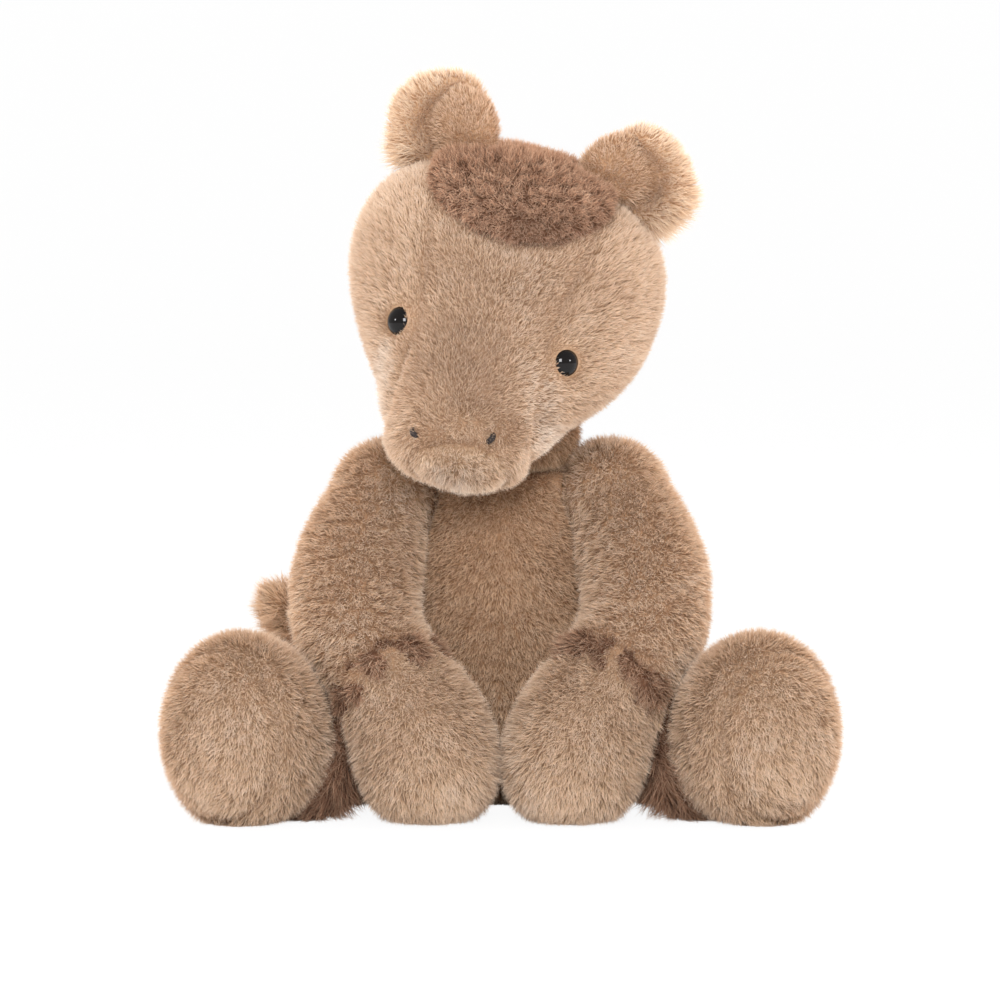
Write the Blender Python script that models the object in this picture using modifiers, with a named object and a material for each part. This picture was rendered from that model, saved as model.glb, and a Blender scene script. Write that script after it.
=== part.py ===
"""Seated plush horse, built from its sewn covers, its filling and its fittings.

The toy faces -Y and sits on the XY plane. Left and right are the toy's own: its left is at +X.
Lengths are in metres.
"""

from math import cos, pi, radians, sin

import bmesh
import bpy
from mathutils import Matrix, Vector
from mathutils.bvhtree import BVHTree

# Sewing and running clearances
SEAT = 0.0003
JOINT_GAP = 0.0008
COVER = 0.0030
FILLING_SEAT = 0.0009
FILLING_CLEAR = 0.0024
SEAM = 0.0004
OVERRUN = 0.004

# Torso: a pear that stands on its seat
TORSO_TALL = 0.132
TORSO_WIDE = 0.092
TORSO_DEEP = 0.084
TORSO_BACK = 0.020
TORSO_LEAN = 0.013
NECK_SEAM_Z = 0.114
# height, width, depth and lean of each ring, as shares of the four sizes above
TORSO_SHARES = [
    (-0.020, 0.00, 0.00, 0.00),
    (-0.015, 0.42, 0.42, 0.00),
    (0.004, 0.74, 0.74, 0.00),
    (0.090, 0.95, 0.96, 0.02),
    (0.280, 1.04, 1.03, 0.14),
    (0.520, 0.95, 0.93, 0.44),
    (0.760, 0.77, 0.74, 0.70),
    (0.950, 0.54, 0.48, 0.82),
    (1.010, 0.00, 0.00, 0.82),
]

# Belly panel: a tongue shaped panel in the front of the torso cover
BELLY_LOW_Z = 0.012
BELLY_TALL = 0.101
BELLY_WIDE = 0.064
BELLY_SHARES = [(0.00, 0.55), (0.10, 0.82), (0.35, 1.00), (0.65, 0.90), (0.88, 0.66), (1.00, 0.50)]

# Pellet pouch in the seat
POUCH_WIDE = 0.050
POUCH_DEEP = 0.044
POUCH_TALL = 0.020
POUCH_LOW_SHARE = 0.4

# Neck: a stuffed ball stub between the torso and the head
NECK_X = 0.0005
NECK_Y = 0.007
NECK_Z = 0.126
NECK_R = 0.0240

# Head, drawn upright in its own frame, then rolled and turned as the toy holds it
HEAD_X = 0.0010
HEAD_Y = -0.009
HEAD_Z = 0.1752
HEAD_ROLL_DEG = 14
HEAD_TURN_DEG = -4.2
HEAD_TALL = 0.1095
HEAD_CHIN = 0.0660
HEAD_WIDE = 0.100
HEAD_DEEP = 0.103
HEAD_FRONT = 0.061
# height above the chin, width, how far the front and the back of each ring lie back, and its
# shift towards the toy's left
HEAD_SHARES = [
    (0.000, 0.00, 0.24, 0.24, -0.004),
    (0.028, 0.33, 0.11, 0.36, -0.004),
    (0.095, 0.475, 0.02, 0.48, -0.003),
    (0.190, 0.53, -0.01, 0.66, -0.001),
    (0.280, 0.63, 0.01, 0.85, 0.010),
    (0.370, 0.82, 0.05, 0.95, 0.022),
    (0.470, 0.94, 0.09, 1.00, 0.016),
    (0.580, 1.02, 0.13, 1.03, 0.000),
    (0.690, 1.03, 0.16, 1.04, 0.000),
    (0.800, 0.97, 0.20, 1.01, 0.000),
    (0.900, 0.79, 0.29, 0.94, 0.000),
    (0.972, 0.47, 0.43, 0.80, 0.000),
    (1.000, 0.00, 0.60, 0.60, 0.000),
]
# half width of the head's centre gusset up the same height
GUSSET_HALF = 0.024
GUSSET_SHARES = [
    (-0.10, 0.96),
    (0.15, 0.96),
    (0.30, 0.92),
    (0.45, 0.86),
    (0.60, 0.95),
    (0.75, 1.08),
    (0.90, 1.18),
    (1.10, 1.18),
]
MUZZLE_SEAM_SHARE = 0.155
MUZZLE_SEAM_TILT_DEG = -32
MUZZLE_SEAM_ROLL_DEG = -10

# Eyes: a domed safety eye, its shank and its lock washer
EYE_R = 0.0052
EYE_DOME = 0.0042
EYE_RIM = 0.0010
EYE_X = 0.0283
EYE_DROP = 0.0165
EYE_SUNK = 0.0012
SHANK_R = 0.0016
SHANK_LONG = 0.0125
WASHER_R = 0.0060
WASHER_THICK = 0.0012
WASHER_FIT = 0.0004

# Nostrils: small padded ovals of embroidery
# how far to the side and how far down each one lies, on a toy that was sewn a little unevenly
NOSTRIL_SPOTS = {"left": (0.0112, 0.0455), "right": (-0.0134, 0.0500)}
NOSTRIL_WIDE = 0.0050
NOSTRIL_TALL = 0.0036
NOSTRIL_THICK = 0.0022

# Mane pad: dark pile over the crown
MANE_THICK = 0.0036
MANE_WIDE = 0.062
MANE_LONG = 0.066
MANE_X = -0.001
MANE_Y = -0.016
MANE_Z = 0.036
MANE_PITCH_DEG = 22
MANE_ROLL_DEG = -9
MANE_BURIED = 0.028

# Ears, sewn on beside the mane
EAR_LONG = 0.031
EAR_WIDE = 0.038
EAR_THICK = 0.0105
EAR_CUP = 0.006
EAR_Y = 0.002
EAR_ROOT_Z = 0.036
# how far out each ear is sewn on
EAR_OUT = {"left": 0.0255, "right": 0.0270}
EAR_FLOP_DEG = 15
EAR_LINING_THICK = 0.0034
EAR_LINING_PROUD = 0.0008
# height, width, thickness and cupping of each ring
EAR_SHARES = [
    (-0.16, 0.00, 0.00, 0.30),
    (-0.08, 0.66, 0.86, 0.40),
    (0.10, 0.92, 1.00, 0.75),
    (0.40, 1.02, 1.00, 1.00),
    (0.70, 0.93, 0.90, 0.80),
    (0.92, 0.60, 0.66, 0.45),
    (1.00, 0.00, 0.00, 0.25),
]
LINING_SHARES = [
    (0.08, 0.00, 0.00, 0.55),
    (0.14, 0.42, 0.80, 0.70),
    (0.36, 0.66, 1.00, 0.95),
    (0.58, 0.50, 0.90, 0.85),
    (0.70, 0.00, 0.00, 0.70),
]
# how far the lining lies towards the crown, and its turn there to follow the cupped ear
LINING_IN = 0.0046
LINING_TURN_DEG = 9
# own side lean outward, turn outward and tilt back, for each ear
EAR_POSES = {"left": (35, 14, 8), "right": (17, 12, 6)}

# Arms: rings down a curved spine from the shoulder to the fore hoof
ARM_R = 0.0195
SHOULDER_X = 0.0370
SHOULDER_Y = 0.003
SHOULDER_Z = 0.1030
SHOULDER_R = 0.0185
ARM_REACH = 0.066
ARM_DROP = 0.104
# spine: out from the shoulder, forward of it and below it, then width and depth of the ring
ARM_SHARES = [
    (-0.12, -0.05, -0.07, 0.00, 0.00),
    (0.02, 0.00, 0.00, 0.90, 0.90),
    (0.30, 0.13, 0.13, 0.99, 0.99),
    (0.58, 0.34, 0.27, 1.02, 1.02),
    (0.50, 0.56, 0.43, 0.99, 1.01),
    (0.05, 0.73, 0.56, 0.97, 1.00),
    (-0.40, 0.82, 0.67, 1.11, 1.14),
    (-0.62, 0.89, 0.80, 1.16, 1.18),
    (-0.72, 0.96, 0.93, 0.92, 0.92),
    (-0.74, 0.99, 0.998, 0.00, 0.00),
]
ARM_WRIST_RING = 5
FETLOCK_FORE_WIDE = 0.010
FETLOCK_FORE_THICK = 0.0022

# Hind legs: rings out from the hip to the sole
LEG_R = 0.0200
HIP_X = 0.0360
HIP_Y = 0.020
HIP_Z = 0.0225
HIP_R = 0.0190
LEG_OUT = 0.0605
LEG_REACH = 0.104
LEG_RISE = 0.0080
# out from the hip, forward of it and above it, then width and height of the ring
LEG_SHARES = [
    (-0.06, -0.08, 0.00, 0.00, 0.00),
    (0.02, 0.02, 0.00, 0.90, 0.90),
    (0.18, 0.20, 0.00, 1.00, 1.00),
    (0.36, 0.38, 0.02, 0.99, 0.99),
    (0.54, 0.53, 0.25, 0.97, 0.97),
    (0.68, 0.63, 0.75, 1.12, 1.42),
    (0.82, 0.74, 1.00, 1.22, 1.67),
    (0.92, 0.84, 1.00, 1.12, 1.50),
    (0.97, 0.93, 1.00, 0.75, 0.96),
    (0.99, 0.96, 1.00, 0.00, 0.00),
]
LEG_ANKLE_RING = 4
SOLE_RING = 7
FETLOCK_HIND_WIDE = 0.012
FETLOCK_HIND_THICK = 0.0045
LEG_DENT_DEG = 4
LEG_DENT_LOOSE = 0.0012

# Tail: rings along a curl that sweeps round to the toy's right
TAIL_R = 0.0085
TAIL_ROOT_Y = 0.057
TAIL_ROOT_Z = 0.026
TAIL_ROOT_R = 0.0085
TAIL_SWEEP = 0.078
TAIL_BACK = 0.020
TAIL_HIGH = 0.044
# share of the sweep to the side, of the depth behind the root, of the height, then the ring's size
TAIL_SHARES = [
    (0.00, 0.00, 0.00, 0.50),
    (0.06, 0.50, 0.00, 0.95),
    (0.22, 0.95, -0.10, 1.00),
    (0.44, 1.00, -0.02, 1.06),
    (0.66, 0.55, 0.25, 1.10),
    (0.84, -0.25, 0.58, 1.02),
    (0.96, -0.95, 0.86, 0.72),
    (1.00, -1.25, 1.00, 0.00),
]

HEAD_SEGMENTS = 12
TORSO_SEGMENTS = 10
LIMB_SEGMENTS = 8
EAR_SEGMENTS = 8
LINING_SEGMENTS = 6
TAIL_SEGMENTS = 6
BALL_COUNTS = (14, 8)
NECK_COUNTS = (16, 10)
INNER_COUNTS = (10, 6)
FAR = 0.5

PALETTE = {
    "plush": ((0.50, 0.32, 0.20), 0.95),
    "plush_light": ((0.56, 0.37, 0.24), 0.95),
    "plush_belly": ((0.40, 0.25, 0.16), 0.95),
    "plush_dark": ((0.20, 0.11, 0.07), 0.95),
    "filling": ((0.86, 0.85, 0.82), 0.90),
    "pouch": ((0.72, 0.70, 0.64), 0.85),
    "eye": ((0.010, 0.008, 0.007), 0.08),
    "washer": ((0.80, 0.80, 0.78), 0.45),
    "thread": ((0.035, 0.022, 0.016), 0.70),
}


def clear_scene():
    for old in list(bpy.data.objects):
        bpy.data.objects.remove(old, do_unlink=True)


def collection(name):
    made = bpy.data.collections.new(name)
    bpy.context.scene.collection.children.link(made)
    return made


clear_scene()
PARTS = collection("plush_horse")
CUTTERS = collection("cutters")


def material(name):
    found = bpy.data.materials.get(name)
    if found:
        return found
    colour, roughness = PALETTE[name]
    made = bpy.data.materials.new(name)
    made.use_nodes = True
    shader = made.node_tree.nodes["Principled BSDF"]
    shader.inputs["Base Color"].default_value = (*colour, 1.0)
    shader.inputs["Roughness"].default_value = roughness
    shader.inputs["Metallic"].default_value = 0.0
    return made


def helper(name, mesh, place=None):
    """A working form, kept with the cutters until it is used up."""
    made = bpy.data.objects.new(name, mesh)
    if place:
        made.matrix_world = place
    CUTTERS.objects.link(made)
    made.hide_render = True
    made.display_type = "WIRE"
    return made


def mesh_from(name, bm):
    mesh = bpy.data.meshes.new(name)
    bm.to_mesh(mesh)
    bm.free()
    return mesh


def applied(obj):
    """Turn the object's modifiers into mesh."""
    bpy.context.view_layer.update()
    seen = obj.evaluated_get(bpy.context.evaluated_depsgraph_get())
    mesh = bpy.data.meshes.new_from_object(seen)
    obj.modifiers.clear()
    obj.data = mesh
    return obj


def duplicate(obj, name):
    made = helper(name, obj.data.copy(), obj.matrix_world.copy())
    return made


def drop(*used):
    for obj in used:
        bpy.data.objects.remove(obj, do_unlink=True)


def main_body(obj):
    """Keep the largest of the pieces that a cut has left."""
    bm = bmesh.new()
    bm.from_mesh(obj.data)
    left = set(bm.verts)
    bodies = []
    while left:
        body = {left.pop()}
        edge = set(body)
        while edge:
            near = {e.other_vert(v) for v in edge for e in v.link_edges}
            edge = near & left
            left -= edge
            body |= edge
        bodies.append(body)
    bodies.sort(key=len)
    for body in bodies[:-1]:
        bmesh.ops.delete(bm, geom=list(body), context="VERTS")
    bm.to_mesh(obj.data)
    bm.free()
    return obj


def facing_out(obj):
    """Turn the faces of a form that came out inside out."""
    bm = bmesh.new()
    bm.from_mesh(obj.data)
    if bm.calc_volume(signed=True) < 0:
        bmesh.ops.reverse_faces(bm, faces=bm.faces)
        bm.to_mesh(obj.data)
    bm.free()
    return obj


def combine(obj, other, operation="DIFFERENCE"):
    boolean = obj.modifiers.new("seam", "BOOLEAN")
    boolean.operation = operation
    boolean.object = other
    # the soft forms meet in long seams that run nearly along their surfaces
    boolean.solver = "MANIFOLD"
    return facing_out(applied(obj))


def offset(obj, distance, name):
    """A copy whose surface lies the distance outside the first, or inside for a negative one."""
    made = duplicate(obj, name)
    normals = [v.normal.copy() for v in made.data.vertices]
    for vertex, normal in zip(made.data.vertices, normals):
        vertex.co += normal * distance
    return made


def ring_points(rings, segments, side_hint, level):
    """The corners of each ring, and the two poles, of a form along a spine of rings.

    Level rings lie flat one above the other. The others stand square to the spine.
    """
    centres = [Vector(ring[0]) for ring in rings]
    # smoothing draws a ring in a little, so the rings are set out fuller by as much
    fuller = 1 / (0.75 + 0.25 * cos(2 * pi / segments))
    rows = []
    for i, (centre, half_width, half_depth, cup) in enumerate(rings):
        before = centres[max(i - 1, 0)]
        after = centres[min(i + 1, len(rings) - 1)]
        along = Vector((0, 0, 1)) if level else (after - before).normalized()
        side = (side_hint - along * side_hint.dot(along)).normalized()
        up = along.cross(side)
        row = []
        for k in range(segments):
            turn = 2 * pi * k / segments
            across = cos(turn)
            lift = half_depth * sin(turn) * fuller - cup * across * across
            row.append(Vector(centre) + side * (half_width * across * fuller) + up * lift)
        rows.append(row)
    return rows


def in_triangles(obj):
    """Fix the way that each bent patch of four corners folds, so that all copies fold alike."""
    bm = bmesh.new()
    bm.from_mesh(obj.data)
    bmesh.ops.triangulate(bm, faces=bm.faces)
    bm.to_mesh(obj.data)
    bm.free()
    return obj


def stuffed_form(name, rings, segments, side_hint=Vector((1, 0, 0)), level=False):
    """A sewn and stuffed form: a sphere whose rings take their places along the spine.

    Gives the smooth form and a plainer one inside it for the lining and filling.
    """
    rows = ring_points(rings, segments, side_hint, level)
    bm = bmesh.new()
    bmesh.ops.create_uvsphere(bm, u_segments=segments, v_segments=len(rings) - 1, radius=1)
    starts = [v.co.to_2d() for v in bm.verts if v.co.to_2d().length > 0.01]
    first = starts[0].angle_signed(Vector((1, 0)))
    for vertex in bm.verts:
        place = vertex.co.normalized()
        tall = max(-1.0, min(1.0, place.z))
        i = round((1 - Vector((0, 0, 1)).angle(place, 0) / pi) * (len(rings) - 1))
        if abs(tall) > 0.9999:
            vertex.co = Vector(rings[0 if tall < 0 else -1][0])
            continue
        flat = Vector((place.x, place.y))
        turn = flat.angle_signed(Vector((1, 0)))
        k = round((turn - first) / (2 * pi) * segments) % segments
        vertex.co = rows[i][k]
    mesh = mesh_from(name, bm)
    smooth = helper(name, mesh)
    coarse_count = len(mesh.vertices)
    plain_mesh = mesh.copy()
    subdivide = smooth.modifiers.new("soft", "SUBSURF")
    subdivide.levels = 1
    subdivide.render_levels = 1
    applied(smooth)
    for i in range(coarse_count):
        plain_mesh.vertices[i].co = smooth.data.vertices[i].co
    plain = helper(name + "_plain", plain_mesh)
    return in_triangles(smooth), in_triangles(plain)


def ball(name, centre, radius, counts=BALL_COUNTS):
    segments, rings = counts
    bm = bmesh.new()
    bmesh.ops.create_uvsphere(bm, u_segments=segments, v_segments=rings, radius=radius)
    bmesh.ops.translate(bm, verts=bm.verts, vec=centre)
    return helper(name, mesh_from(name, bm))


def ellipsoid(name, size, place, counts=BALL_COUNTS):
    segments, rings = counts
    bm = bmesh.new()
    bmesh.ops.create_uvsphere(bm, u_segments=segments, v_segments=rings, radius=0.5)
    bmesh.ops.scale(bm, vec=size, verts=bm.verts)
    made = helper(name, mesh_from(name, bm))
    made.matrix_world = place
    return made


def half_space(name, point, normal):
    """A large box whose face passes through the point and that fills the side of the normal."""
    bm = bmesh.new()
    bmesh.ops.create_cube(bm, size=FAR)
    bmesh.ops.translate(bm, verts=bm.verts, vec=(0, 0, FAR / 2))
    turn = Vector(normal).to_track_quat("Z", "Y").to_matrix().to_4x4()
    bmesh.ops.transform(bm, verts=bm.verts, matrix=Matrix.Translation(point) @ turn)
    return helper(name, mesh_from(name, bm))


def trim(obj, point, normal):
    """Cut away what lies on the normal's side of the point."""
    box = half_space("trim", point, normal)
    combine(obj, box)
    drop(box)
    return obj


def cylinder(name, radius, low, high, place, segments=14):
    """A cylinder along the place's Z from low to high."""
    bm = bmesh.new()
    bmesh.ops.create_cone(
        bm,
        cap_ends=True,
        segments=segments,
        radius1=radius,
        radius2=radius,
        depth=high - low,
    )
    bmesh.ops.translate(bm, verts=bm.verts, vec=(0, 0, (high + low) / 2))
    made = helper(name, mesh_from(name, bm))
    made.matrix_world = place
    return made


def outline_prism(name, halves, front, back, place=None):
    """An outline, given as heights and half widths, filled and extruded from front to back."""
    curve = bpy.data.curves.new(name, "CURVE")
    curve.dimensions = "2D"
    curve.fill_mode = "BOTH"
    curve.extrude = (back - front) / 2
    points = [(half, high) for high, half in halves]
    points += [(-half, high) for high, half in reversed(halves)]
    spline = curve.splines.new("POLY")
    spline.points.add(len(points) - 1)
    for point, (x, y) in zip(spline.points, points):
        point.co = (x, y, 0, 1)
    spline.use_cyclic_u = True
    flat = bpy.data.objects.new(name, curve)
    CUTTERS.objects.link(flat)
    bpy.context.view_layer.update()
    seen = flat.evaluated_get(bpy.context.evaluated_depsgraph_get())
    mesh = bpy.data.meshes.new_from_object(seen)
    drop(flat)
    bm = bmesh.new()
    bm.from_mesh(mesh)
    bmesh.ops.remove_doubles(bm, verts=bm.verts, dist=SEAT / 10)
    stand = Matrix.Rotation(pi / 2, 4, "X")
    middle = Matrix.Translation((0, (front + back) / 2, 0))
    bmesh.ops.transform(bm, verts=bm.verts, matrix=middle @ stand)
    bmesh.ops.recalc_face_normals(bm, faces=bm.faces)
    made = helper(name, mesh_from(name, bm))
    if place:
        made.matrix_world = place
    return made


def cover_and_filling(outer, inner):
    """Hollow the outer form out to a cover, and fill it with all but a seat of the inner one."""
    filling = offset(inner, -FILLING_SEAT, "filling")
    combine(outer, inner)
    drop(inner)
    return outer, filling


def finish(obj, name, colour, carrier=None):
    """Name the piece, give it its material and hang it on its joint."""
    bm = bmesh.new()
    bm.from_mesh(obj.data)
    bmesh.ops.remove_doubles(bm, verts=bm.verts, dist=SEAT / 300)
    bmesh.ops.dissolve_degenerate(bm, edges=bm.edges, dist=SEAT / 300)
    bmesh.ops.recalc_face_normals(bm, faces=bm.faces)
    bm.to_mesh(obj.data)
    bm.free()
    obj.name = name
    obj.data.name = name
    obj.data.materials.clear()
    obj.data.materials.append(material(colour))
    obj.data.shade_smooth()
    obj.data.set_sharp_from_angle(angle=radians(40))
    CUTTERS.objects.unlink(obj)
    PARTS.objects.link(obj)
    obj.hide_render = False
    obj.display_type = "TEXTURED"
    if carrier:
        home = obj.matrix_world.copy()
        obj.data.transform(carrier.matrix_world.inverted() @ home)
        obj.parent = carrier
        obj.matrix_basis = Matrix()
    return obj


def pivot(name, place, parent=None):
    made = bpy.data.objects.new(name, None)
    PARTS.objects.link(made)
    made.parent = parent
    made.matrix_world = place if isinstance(place, Matrix) else Matrix.Translation(place)
    bpy.context.view_layer.update()
    return made


def swept_cut(obj, cutter, point, axis, angles):
    """Cut the piece by all that its neighbour passes through as the piece turns."""
    for angle in angles:
        turn = Matrix.Rotation(radians(-angle), 4, axis)
        moved = Matrix.Translation(point) @ turn @ Matrix.Translation(-Vector(point))
        tool = duplicate(cutter, "sweep")
        tool.matrix_world = moved @ cutter.matrix_world
        combine(obj, tool)
        drop(tool)
    return obj


# Frames and joint points
NECK_POINT = Vector((NECK_X, NECK_Y, NECK_Z))
SIDES = {"left": 1, "right": -1}


def shoulder_point(way):
    return Vector((way * SHOULDER_X, SHOULDER_Y, SHOULDER_Z))


def hip_point(way):
    return Vector((way * HIP_X, HIP_Y, HIP_Z))


TAIL_POINT = Vector((0, TAIL_ROOT_Y, TAIL_ROOT_Z))
FLOOR = Vector((0, 0, 0))
DOWN = Vector((0, 0, -1))
UP = Vector((0, 0, 1))

root = pivot("torso_frame", Vector((0, 0, 0)))
neck_pivot = pivot("neck_pivot", NECK_POINT, root)
head_pivot = pivot("head_pivot", NECK_POINT, neck_pivot)
head_turned = (
    Matrix.Translation((HEAD_X, HEAD_Y, HEAD_Z))
    @ Matrix.Rotation(radians(HEAD_TURN_DEG), 4, "Z")
    @ Matrix.Rotation(radians(HEAD_ROLL_DEG), 4, "Y")
)
head_frame = pivot("head_frame", head_turned, head_pivot)


# Torso
torso_rings = [
    (
        (0, TORSO_BACK - TORSO_LEAN * lean, TORSO_TALL * high),
        TORSO_WIDE / 2 * wide,
        TORSO_DEEP / 2 * deep,
        0,
    )
    for high, wide, deep, lean in TORSO_SHARES
]
torso_form, torso_inner = stuffed_form("torso_form", torso_rings, TORSO_SEGMENTS, level=True)
torso_inner = offset(torso_inner, -COVER, "torso_lining")
trim(torso_inner, FLOOR + UP * COVER, DOWN)
torso_whole = duplicate(torso_form, "torso_whole")
torso_cover, torso_filling = cover_and_filling(torso_form, torso_inner)
trim(torso_cover, FLOOR, DOWN)
sockets = [(TAIL_POINT, TAIL_ROOT_R)]
for way in SIDES.values():
    sockets.append((shoulder_point(way), SHOULDER_R))
    sockets.append((hip_point(way), HIP_R))
neck_seam = Vector((0, 0, NECK_SEAM_Z))
for piece in (torso_cover, torso_filling):
    trim(piece, neck_seam, UP)
hollows = []
for centre, radius in sockets:
    socket = ball("socket", centre, radius + JOINT_GAP)
    combine(torso_cover, socket)
    hollow = ball("hollow", centre, radius + FILLING_CLEAR, INNER_COUNTS)
    combine(torso_filling, hollow)
    hollows.append(hollow)
    drop(socket)

# The pellet pouch lies in the seat, in a pocket of the filling
pouch_place = Matrix.Translation((0, TORSO_BACK, COVER + FILLING_SEAT + POUCH_TALL * POUCH_LOW_SHARE))
pouch = ellipsoid("pouch", (POUCH_WIDE, POUCH_DEEP, POUCH_TALL), pouch_place, INNER_COUNTS)
pocket = offset(pouch, SEAT, "pocket")
trim(pouch, FLOOR + UP * (COVER + FILLING_SEAT), DOWN)
for hollow in hollows:
    combine(pouch, hollow)
drop(*hollows)
combine(torso_filling, pocket)
drop(pocket)

# The belly panel is sewn into the front of the cover
belly_outline = [
    (BELLY_LOW_Z + BELLY_TALL * high, BELLY_WIDE / 2 * wide) for high, wide in BELLY_SHARES
]
panel_tool = outline_prism("panel", belly_outline, -FAR / 2, TORSO_BACK)
seam_outline = [(high, half + SEAM) for high, half in belly_outline]
seam_outline[0] = (BELLY_LOW_Z - SEAM, seam_outline[0][1])
seam_outline[-1] = (BELLY_LOW_Z + BELLY_TALL + SEAM, seam_outline[-1][1])
seam_tool = outline_prism("panel_seam", seam_outline, -FAR / 2, TORSO_BACK)
belly_panel = duplicate(torso_cover, "belly")
combine(belly_panel, panel_tool, "INTERSECT")
combine(torso_cover, seam_tool)
drop(panel_tool, seam_tool)

finish(torso_cover, "torso_cover", "plush", root)
finish(belly_panel, "belly_panel", "plush_belly", root)
finish(torso_filling, "torso_filling", "filling", root)
finish(pouch, "pellet_pouch", "pouch", root)


# Neck: a ball stub, flat where it is sewn to the torso
neck_ball = ball("neck_ball", NECK_POINT, NECK_R, NECK_COUNTS)
neck_inner = ball("neck_lining", NECK_POINT, NECK_R - COVER, INNER_COUNTS)
neck_cover, neck_filling = cover_and_filling(neck_ball, neck_inner)
for piece in (neck_cover, neck_filling):
    trim(piece, neck_seam + UP * SEAT, DOWN)
finish(neck_cover, "neck_cover", "plush", neck_pivot)
finish(neck_filling, "neck_filling", "filling", neck_pivot)


# Head
def head_ring(high, wide, front, back, shift):
    middle = (front + back) / 2
    return (
        (HEAD_WIDE * shift, HEAD_DEEP * middle - HEAD_FRONT, HEAD_TALL * high - HEAD_CHIN),
        HEAD_WIDE / 2 * wide,
        HEAD_DEEP * (back - front) / 2,
        0,
    )


head_rings = [head_ring(*row) for row in HEAD_SHARES]
head_form, head_inner = stuffed_form("head_form", head_rings, HEAD_SEGMENTS, level=True)
head_inner = offset(head_inner, -COVER, "head_lining")
for piece in (head_form, head_inner):
    piece.matrix_world = head_turned
bpy.context.view_layer.update()
head_whole = duplicate(head_form, "head_whole")
head_grown = offset(head_form, SEAT, "head_grown")
head_cover, head_filling = cover_and_filling(head_form, head_inner)
neck_socket = ball("neck_socket", NECK_POINT, NECK_R + JOINT_GAP, NECK_COUNTS)
for piece in (head_cover, head_filling):
    combine(piece, neck_socket)
drop(neck_socket)

head_skin = BVHTree.FromObject(head_whole, bpy.context.evaluated_depsgraph_get())


def face_place(x, z):
    """A frame on the front of the head, whose Z stands out of the surface."""
    start = Vector((x, -FAR, z))
    hit, normal, _, _ = head_skin.ray_cast(start, Vector((0, 1, 0)))
    turn = normal.to_track_quat("Z", "Y").to_matrix().to_4x4()
    return head_turned @ Matrix.Translation(hit) @ turn


# Eyes, each in a drawn-in pit, with the washer behind the cover
def turned(name, profile, place, steps=14):
    """A profile at +X, run down its outer side, turned about Z."""
    mesh = bpy.data.meshes.new(name)
    edges = [(i, i + 1) for i in range(len(profile) - 1)]
    mesh.from_pydata([(r, 0, z) for r, z in profile], edges, [])
    made = helper(name, mesh)
    screw = made.modifiers.new("turn", "SCREW")
    screw.steps = steps
    screw.render_steps = steps
    screw.use_merge_vertices = True
    screw.merge_threshold = SEAT / 30
    applied(made)
    made.matrix_world = place
    return made


def eye_pieces(side, way):
    place = face_place(way * EYE_X, -EYE_DROP)
    base = -EYE_SUNK + SEAT
    arc = [k * pi / 2 / 4 for k in range(5)]
    profile = [(EYE_R * sin(a), base + EYE_RIM + (EYE_DOME - EYE_RIM) * cos(a)) for a in arc]
    profile += [
        (EYE_R * 0.97, base),
        (SHANK_R, base),
        (SHANK_R, base - SHANK_LONG + SHANK_R),
        (SHANK_R * 0.5, base - SHANK_LONG),
        (0, base - SHANK_LONG),
    ]
    eye = turned("eye", profile, place)
    washer_top = -COVER - SEAT
    bore = SHANK_R + WASHER_FIT
    washer = turned(
        "washer",
        [
            (bore, washer_top),
            (WASHER_R, washer_top),
            (WASHER_R, washer_top - WASHER_THICK),
            (bore, washer_top - WASHER_THICK),
            (bore, washer_top),
        ],
        place,
    )
    pit = cylinder("pit", EYE_R + SEAT, -EYE_SUNK, OVERRUN, place)
    hole = cylinder("hole", SHANK_R + WASHER_FIT, -COVER - OVERRUN, OVERRUN, place)
    combine(head_cover, pit)
    combine(head_cover, hole)
    low = base - SHANK_LONG - SEAT
    room = cylinder("room", WASHER_R + SEAT, low, OVERRUN, place)
    combine(head_filling, room)
    # the lock washer lies flat, so the lining is spot faced for it
    face = cylinder("face", WASHER_R + SEAT, washer_top - OVERRUN, washer_top + SEAT, place)
    combine(head_cover, face)
    drop(pit, hole, room, face)
    finish(eye, f"eye_{side}", "eye", head_frame)
    finish(washer, f"eye_washer_{side}", "washer", head_frame)


def nostril_piece(side):
    across, down = NOSTRIL_SPOTS[side]
    place = face_place(across, -down)
    size = (NOSTRIL_WIDE, NOSTRIL_TALL, NOSTRIL_THICK)
    pad = ellipsoid("nostril", size, place, INNER_COUNTS)
    dent = offset(pad, SEAT, "dent")
    combine(head_cover, dent)
    drop(dent)
    finish(pad, f"nostril_{side}", "thread", head_frame)


for side, way in SIDES.items():
    eye_pieces(side, way)
    nostril_piece(side)

# The head cover is sewn from a gusset, two sides and a muzzle panel
muzzle_level = HEAD_TALL * MUZZLE_SEAM_SHARE - HEAD_CHIN
muzzle_tilt = radians(MUZZLE_SEAM_TILT_DEG)
muzzle_roll = Matrix.Rotation(radians(MUZZLE_SEAM_ROLL_DEG), 3, "Y")
muzzle_down = muzzle_roll @ Vector((0, sin(muzzle_tilt), -cos(muzzle_tilt)))
muzzle_normal = head_turned.to_3x3() @ muzzle_down
muzzle_point = head_turned @ Vector((0, -HEAD_FRONT, muzzle_level))
muzzle_panel = duplicate(head_cover, "muzzle")
trim(muzzle_panel, muzzle_point + muzzle_normal * SEAM, -muzzle_normal)
trim(head_cover, muzzle_point, muzzle_normal)
gusset_outline = [
    (HEAD_TALL * high - HEAD_CHIN, GUSSET_HALF * wide) for high, wide in GUSSET_SHARES
]
strip = outline_prism("strip", gusset_outline, -FAR / 2, FAR / 2, head_turned)
wide_strip = outline_prism(
    "wide_strip",
    [(high, half + SEAM) for high, half in gusset_outline],
    -FAR / 2,
    FAR / 2,
    head_turned,
)
head_gusset = duplicate(head_cover, "gusset")
combine(head_gusset, strip, "INTERSECT")
combine(head_cover, wide_strip)
head_middle = head_turned.to_translation()
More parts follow.
